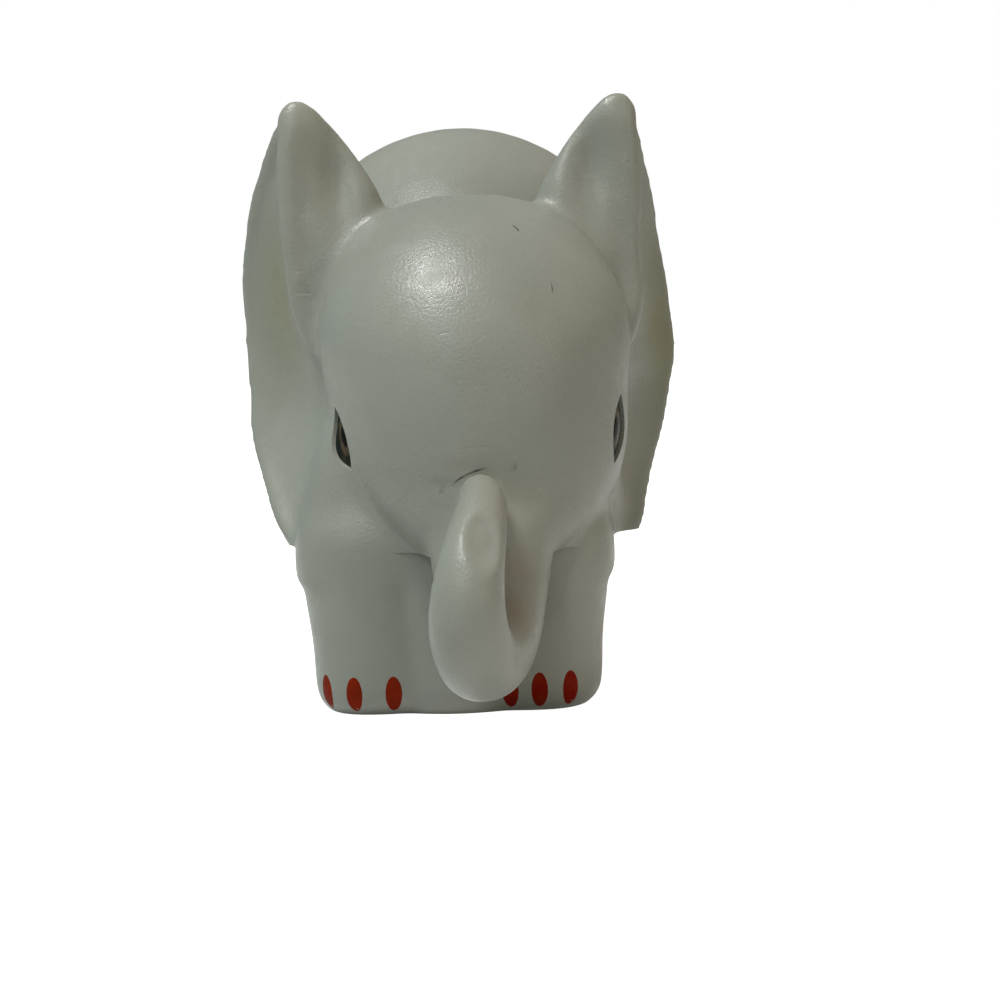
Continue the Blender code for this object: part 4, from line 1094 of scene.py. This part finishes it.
def arc_through(a, b, c):
    """The middle and radius of the circle through three places."""
    ab, ac = b - a, c - a
    normal = ab.cross(ac)
    off = normal.cross(ab) * ac.length_squared + ac.cross(normal) * ab.length_squared
    middle = a + off / (2 * normal.length_squared)
    return middle, (a - middle).length


def scaled(colour, share):
    return tuple(c * share for c in colour)


def plastic(g, colour, rough, wear, marks=(), lines=()):
    """Satin moulded plastic: uneven tone, fine grain, dirt, hairline scratches and rubbed spots, with
    painted shade and painted highlight where the masks lie.
    """
    cloud = g.ramp(g.noise(45, 3.0), 0.35, 0.68)
    tone = g.mix(cloud, scaled(colour, 0.93), scaled(colour, 1.06))
    warm = g.ramp(g.noise(28, 2.0), 0.5, 0.78, 0, 0.55)
    tone = g.mix(warm, tone, (colour[0] * 1.07, colour[1] * 0.99, colour[2] * 0.9))
    # Masked marks: olive is a tint with painted shade in the ear hollows, warm is painted shade in the
    # trunk's curl, dirt is pinprick dirt with one spot of painted shade at the crease over the trunk's
    # end
    for mask, mark_colour, strength in marks:
        tone = g.mix(g.times(g.attribute(mask), strength), tone, mark_colour)
    # The scuff mask marks rubbed spots and also the brightest highlight spots, where the pale flecks
    # below are painted highlight
    worn_and_highlight = g.attribute("scuff_and_highlight") if marks else 0.0

    # Pinprick dirt and pale rubbed flecks, which on the highlight spots are painted highlight
    specks = g.add("TexVoronoi", Vector=g.where, Scale=150.0).outputs["Distance"]
    thin = g.ramp(g.noise(60, 1.0), 0.62, 0.66)
    dirt = g.times(g.ramp(specks, 0.035, 0.06, 1, 0), thin)
    tone = g.mix(g.times(dirt, 0.55 * wear), tone, scaled(colour, 0.35))
    rubbed = g.ramp(g.noise(700, 4.0, 0.65), 0.6, 0.74)
    rub_and_highlight = g.times(rubbed, g.most(g.ramp(g.noise(38, 2.0), 0.56, 0.7), worn_and_highlight))
    tone = g.mix(g.times(rub_and_highlight, 0.4 * wear), tone, scaled(colour, 1.35))

    # Fine dark lines, each where a sphere about the middle of its arc meets the surface; the first is
    # painted shade in the crease where the trunk's end meets the brow
    for ends, half_width in lines:
        middle, radius = arc_through(*ends)
        off = g.math("ABSOLUTE", g.math("SUBTRACT", g.distance(middle), radius), 0.0)
        fade = [share * (ends[0] - ends[1]).length for share in LINE_FADE]
        near = g.ramp(g.distance(ends[1]), *fade, 1, 0)
        line = g.times(g.ramp(off, half_width * 0.5, half_width, 1, 0), near)
        patchy = g.ramp(g.noise(900, 2.0), 0.35, 0.55, 0.4, 1)
        tone = g.mix(g.times(line, patchy), tone, LINE_COLOUR)

    # Hairline scratches: stretched noise in three directions
    scratches = 0.0
    for turn in ((0.2, 0.4, 0.9), (1.2, -0.3, 0.2), (0.5, 1.4, -0.6)):
        squeeze = g.add("Mapping", Vector=g.where, Rotation=turn, Scale=(40.0, 1100.0, 600.0))
        line = g.ramp(g.noise(1.0, 1.0, where=squeeze.outputs[0]), 0.745, 0.775)
        scratches = g.most(scratches, line)
    scratches = g.times(scratches, g.most(g.ramp(g.noise(55, 1.0), 0.5, 0.62), worn_and_highlight))

    grain = g.times(g.noise(2600, 3.0, 0.6), 0.6)
    height = g.math("ADD", grain, g.times(g.noise(170, 2.0), 0.55))
    height = g.math("SUBTRACT", height, g.times(scratches, 0.25 * wear))
    height = g.math("SUBTRACT", height, g.times(rub_and_highlight, 0.08 * wear))
    dull = g.ramp(g.noise(420, 3.0, 0.6), 0.35, 0.7, rough - 0.05, rough + 0.08)
    return {
        "Base Color": tone,
        "Normal": g.bump(height, 0.4, 0.0003),
        "Roughness": g.math("ADD", dull, g.times(scratches, 0.15)),
        "Specular IOR Level": 0.4,
    }


def eye_gloss(g, inner, outer, rough):
    """Glossy paint that pales from one colour to the other, with faint streaks."""
    drawn = g.add("Mapping", Vector=g.where, Scale=(900.0, 900.0, 160.0)).outputs[0]
    streaks = g.ramp(g.noise(1.0, 3.0, where=drawn), 0.35, 0.68)
    dull = g.ramp(g.noise(1500, 2.0), 0.3, 0.7, rough, rough + 0.12)
    return {"Base Color": g.mix(streaks, inner, outer), "Roughness": dull, "IOR": PAINT_IOR}


def nail_paint(g):
    """Orange-red paint, redder to the elephant's left, a little uneven and thinner in flecks."""
    across = g.add("SeparateXYZ", Vector=g.where).outputs[0]
    tone = g.mix(g.ramp(across, -0.016, 0.016), (0.17, 0.013, 0.0008), (0.21, 0.004, 0.001))
    tone = g.mix(g.ramp(g.noise(500, 3.0), 0.35, 0.7), tone, (0.22, 0.014, 0.001))
    flecks = g.ramp(g.noise(1900, 3.0, 0.7), 0.68, 0.76)
    return {
        "Base Color": g.mix(g.times(flecks, 0.35), tone, (0.2, 0.06, 0.03)),
        "Normal": g.bump(g.noise(1400, 2.0), 0.25, 0.0001),
        "Roughness": g.ramp(g.noise(900, 2.0), 0.3, 0.7, 0.42, 0.58),
        "IOR": PAINT_IOR,
    }


def steel(g):
    """Zinc-plated steel with fine turning marks and dull spots."""
    turning = g.ramp(g.noise(400, 4.0), 0.3, 0.7)
    return {
        "Base Color": g.mix(turning, (0.42, 0.42, 0.43), (0.58, 0.58, 0.6)),
        "Roughness": g.ramp(g.noise(1200, 3.0), 0.3, 0.7, 0.26, 0.42),
        "Metallic": 1.0,
    }


def material(name, recipe, *values):
    """A material whose shader has the inputs that the recipe returns."""
    mat = bpy.data.materials.new(name)
    g = Graph(mat)
    for key, value in recipe(g, *values).items():
        g.fill(g.tree.nodes["Principled BSDF"].inputs[key], value)
    return mat


def looks_of_all():
    # Olive: an olive tint with painted shade in the ear hollows; warm: painted shade in the trunk's
    # curl; dirt: pinprick dirt
    marks = (
        ("olive", (0.22, 0.218, 0.125), 0.85),
        ("warm", (0.24, 0.185, 0.14), 0.6),
        ("dirt", (0.07, 0.065, 0.05), 0.85),
    )
    lines = []
    for ends, half in HEAD_LINES_AND_CREASE_SHADE:
        ahead = [(x * TURN_COS - y * TURN_SIN, x * TURN_SIN + y * TURN_COS, z) for x, y, z in ends]
        moved = [(Vector((NECK_SHIFT + x, NECK_Y + y, z)) + SHIFT) * MM for x, y, z in ahead]
        lines.append((moved, half * MM))
    recipes = {
        "shell_plastic": (plastic, (0.272, 0.276, 0.24), 0.34, 1.0, marks, lines),
        "plate_plastic": (plastic, (0.25, 0.255, 0.22), 0.5, 0.8),
        "tail_rubber": (plastic, (0.225, 0.228, 0.195), 0.62, 0.6),
        "nail_paint": (nail_paint,),
        "eye_dark": (eye_gloss, (0.008, 0.012, 0.009), (0.03, 0.03, 0.022), 0.24),
        "iris_brown": (eye_gloss, (0.05, 0.036, 0.022), (0.09, 0.065, 0.04), 0.24),
        "pupil_black": (eye_gloss, (0.003, 0.003, 0.003), (0.012, 0.011, 0.01), 0.1),
        "bush_plastic": (plastic, (0.62, 0.61, 0.57), 0.42, 0.5),
        "hardware_steel": (steel,),
    }
    return {name: material(name, *recipe) for name, recipe in recipes.items()}


def camera():
    """A close view from in front, a little above and to the elephant's left, held slightly tilted."""
    place = (Vector((PIN.x, PIN.y, 0)) + Vector(EYE_FROM_PIN)) * MM
    pitch, roll = math.radians(CAMERA_PITCH), math.radians(CAMERA_ROLL)
    level = facing(180 + CAMERA_YAW)
    ahead = level * math.cos(pitch) + Vector((0, 0, -math.sin(pitch)))
    right = ahead.cross(Vector((0, 0, 1))).normalized()
    up = right.cross(ahead)
    c, s = math.cos(roll), math.sin(roll)
    right, up = right * c - up * s, up * c + right * s
    data = bpy.data.cameras.new("camera")
    data.lens, data.sensor_width = LENS, SENSOR
    data.clip_start, data.clip_end = 0.01, 20.0
    scene.camera = placed("camera", data)
    turn = Matrix((right, up, -ahead)).transposed().to_4x4()
    scene.camera.matrix_world = Matrix.Translation(place) @ turn


def stage():
    """A pale floor that shows white but for the object's soft shadow."""
    bpy.ops.mesh.primitive_plane_add(size=FLOOR_SIZE, location=(0, 0, 0))
    floor = bpy.context.object
    floor.name = "floor"
    mat = bpy.data.materials.new("floor_paper")
    g = Graph(mat)
    g.tree.nodes.remove(g.tree.nodes["Principled BSDF"])
    diffuse = g.add("BsdfDiffuse", Color=FLOOR_COLOUR)
    path = g.add("LightPath").outputs
    seen = g.most(path["Is Camera Ray"], g.times(path["Is Glossy Ray"], FLOOR_IN_GLOSS))
    seen = g.most(seen, path["Is Transmission Ray"])
    glow = g.add("Emission", Color=WHITE, Strength=g.times(seen, FLOOR_GLOW))
    both = g.add("AddShader", i0=diffuse.outputs[0], i1=glow.outputs[0])
    g.fill(g.tree.nodes["Material Output"].inputs["Surface"], both.outputs[0])
    floor.data.materials.append(mat)


def world():
    """Dim air, cool from one side and warm from the other, that the camera sees as white."""
    scene.world = bpy.data.worlds.new("studio")
    g = Graph(scene.world, "Generated")
    soft = g.tree.nodes["Background"]
    across = g.add("SeparateXYZ", Vector=g.where).outputs[0]
    g.fill(soft.inputs["Color"], g.mix(g.ramp(across, -0.8, 0.8), AIR_COOL, AIR_WARM))
    soft.inputs["Strength"].default_value = AIR_STRENGTH
    white = g.add("Background", Color=WHITE, Strength=1.0)
    seen = g.add("LightPath").outputs["Is Camera Ray"]
    both = g.add("MixShader", i0=seen, i1=soft.outputs[0], i2=white.outputs[0])
    g.fill(g.tree.nodes["World Output"].inputs["Surface"], both.outputs[0])


def lights():
    """Soft daylight from above and to the elephant's right, with a warm fill on the other side."""
    aim = Vector((0, 0, LAMP_AIM_Z))
    for name, towards, away, size, power, colour in LAMPS:
        data = bpy.data.lights.new(name, "AREA")
        data.shape, data.size = "DISK", size
        data.energy, data.color = power, colour
        lamp = placed(name, data)
        lamp.location = aim + Vector(towards).normalized() * away
        lamp.rotation_mode = "QUATERNION"
        lamp.rotation_quaternion = (-Vector(towards)).to_track_quat("-Z", "Y")


def tint(obj, found, tints_and_shade, scuffs_and_highlights, dirt):
    """Which parts of a skin are tinted, rubbed or dirty, or painted in shade or highlight, from 0 to 1,
    for its material.
    """
    spots = tints_and_shade + tuple(("scuff_and_highlight", *spot, 1.0) for spot in scuffs_and_highlights)
    spots += tuple(("dirt", place, DIRT_SIZE, 1.0) for place in dirt)
    masks = {name: np.zeros(len(found)) for name in ("olive", "warm", "scuff_and_highlight", "dirt")}
    for name, place, size, share in spots:
        masks[name] = np.maximum(masks[name], share * bump(found, place, size))
    for name, values in masks.items():
        layer = obj.data.attributes.new(name, "FLOAT", "POINT")
        layer.data.foreach_set("value", np.clip(values, 0, 1).astype(np.float32))


camera()
stage()
world()
lights()
looks = looks_of_all()

head = head_skin()
eyes(head, surface_of(head))
tint(head, face_ahead(places(head)), HEAD_TINTS_AND_SHADE, HEAD_SCUFFS_AND_HIGHLIGHTS, HEAD_DIRT_AND_SHADE)
finished(head, "head_shell", "shell_plastic", "head")

body = body_skin()
toenails(surface_of(body))
tint(body, places(body), (), BODY_SCUFFS_AND_HIGHLIGHT, BODY_DIRT)
finished(body, "body_shell", "shell_plastic", "torso")
tail()

for part in frame["record"]["subparts"]:
    node = frame["nodes"][part["node"]]
    node.data.materials.clear()
    node.data.materials.append(looks[part["material_slot"]])

scene.view_settings.view_transform = "Standard"
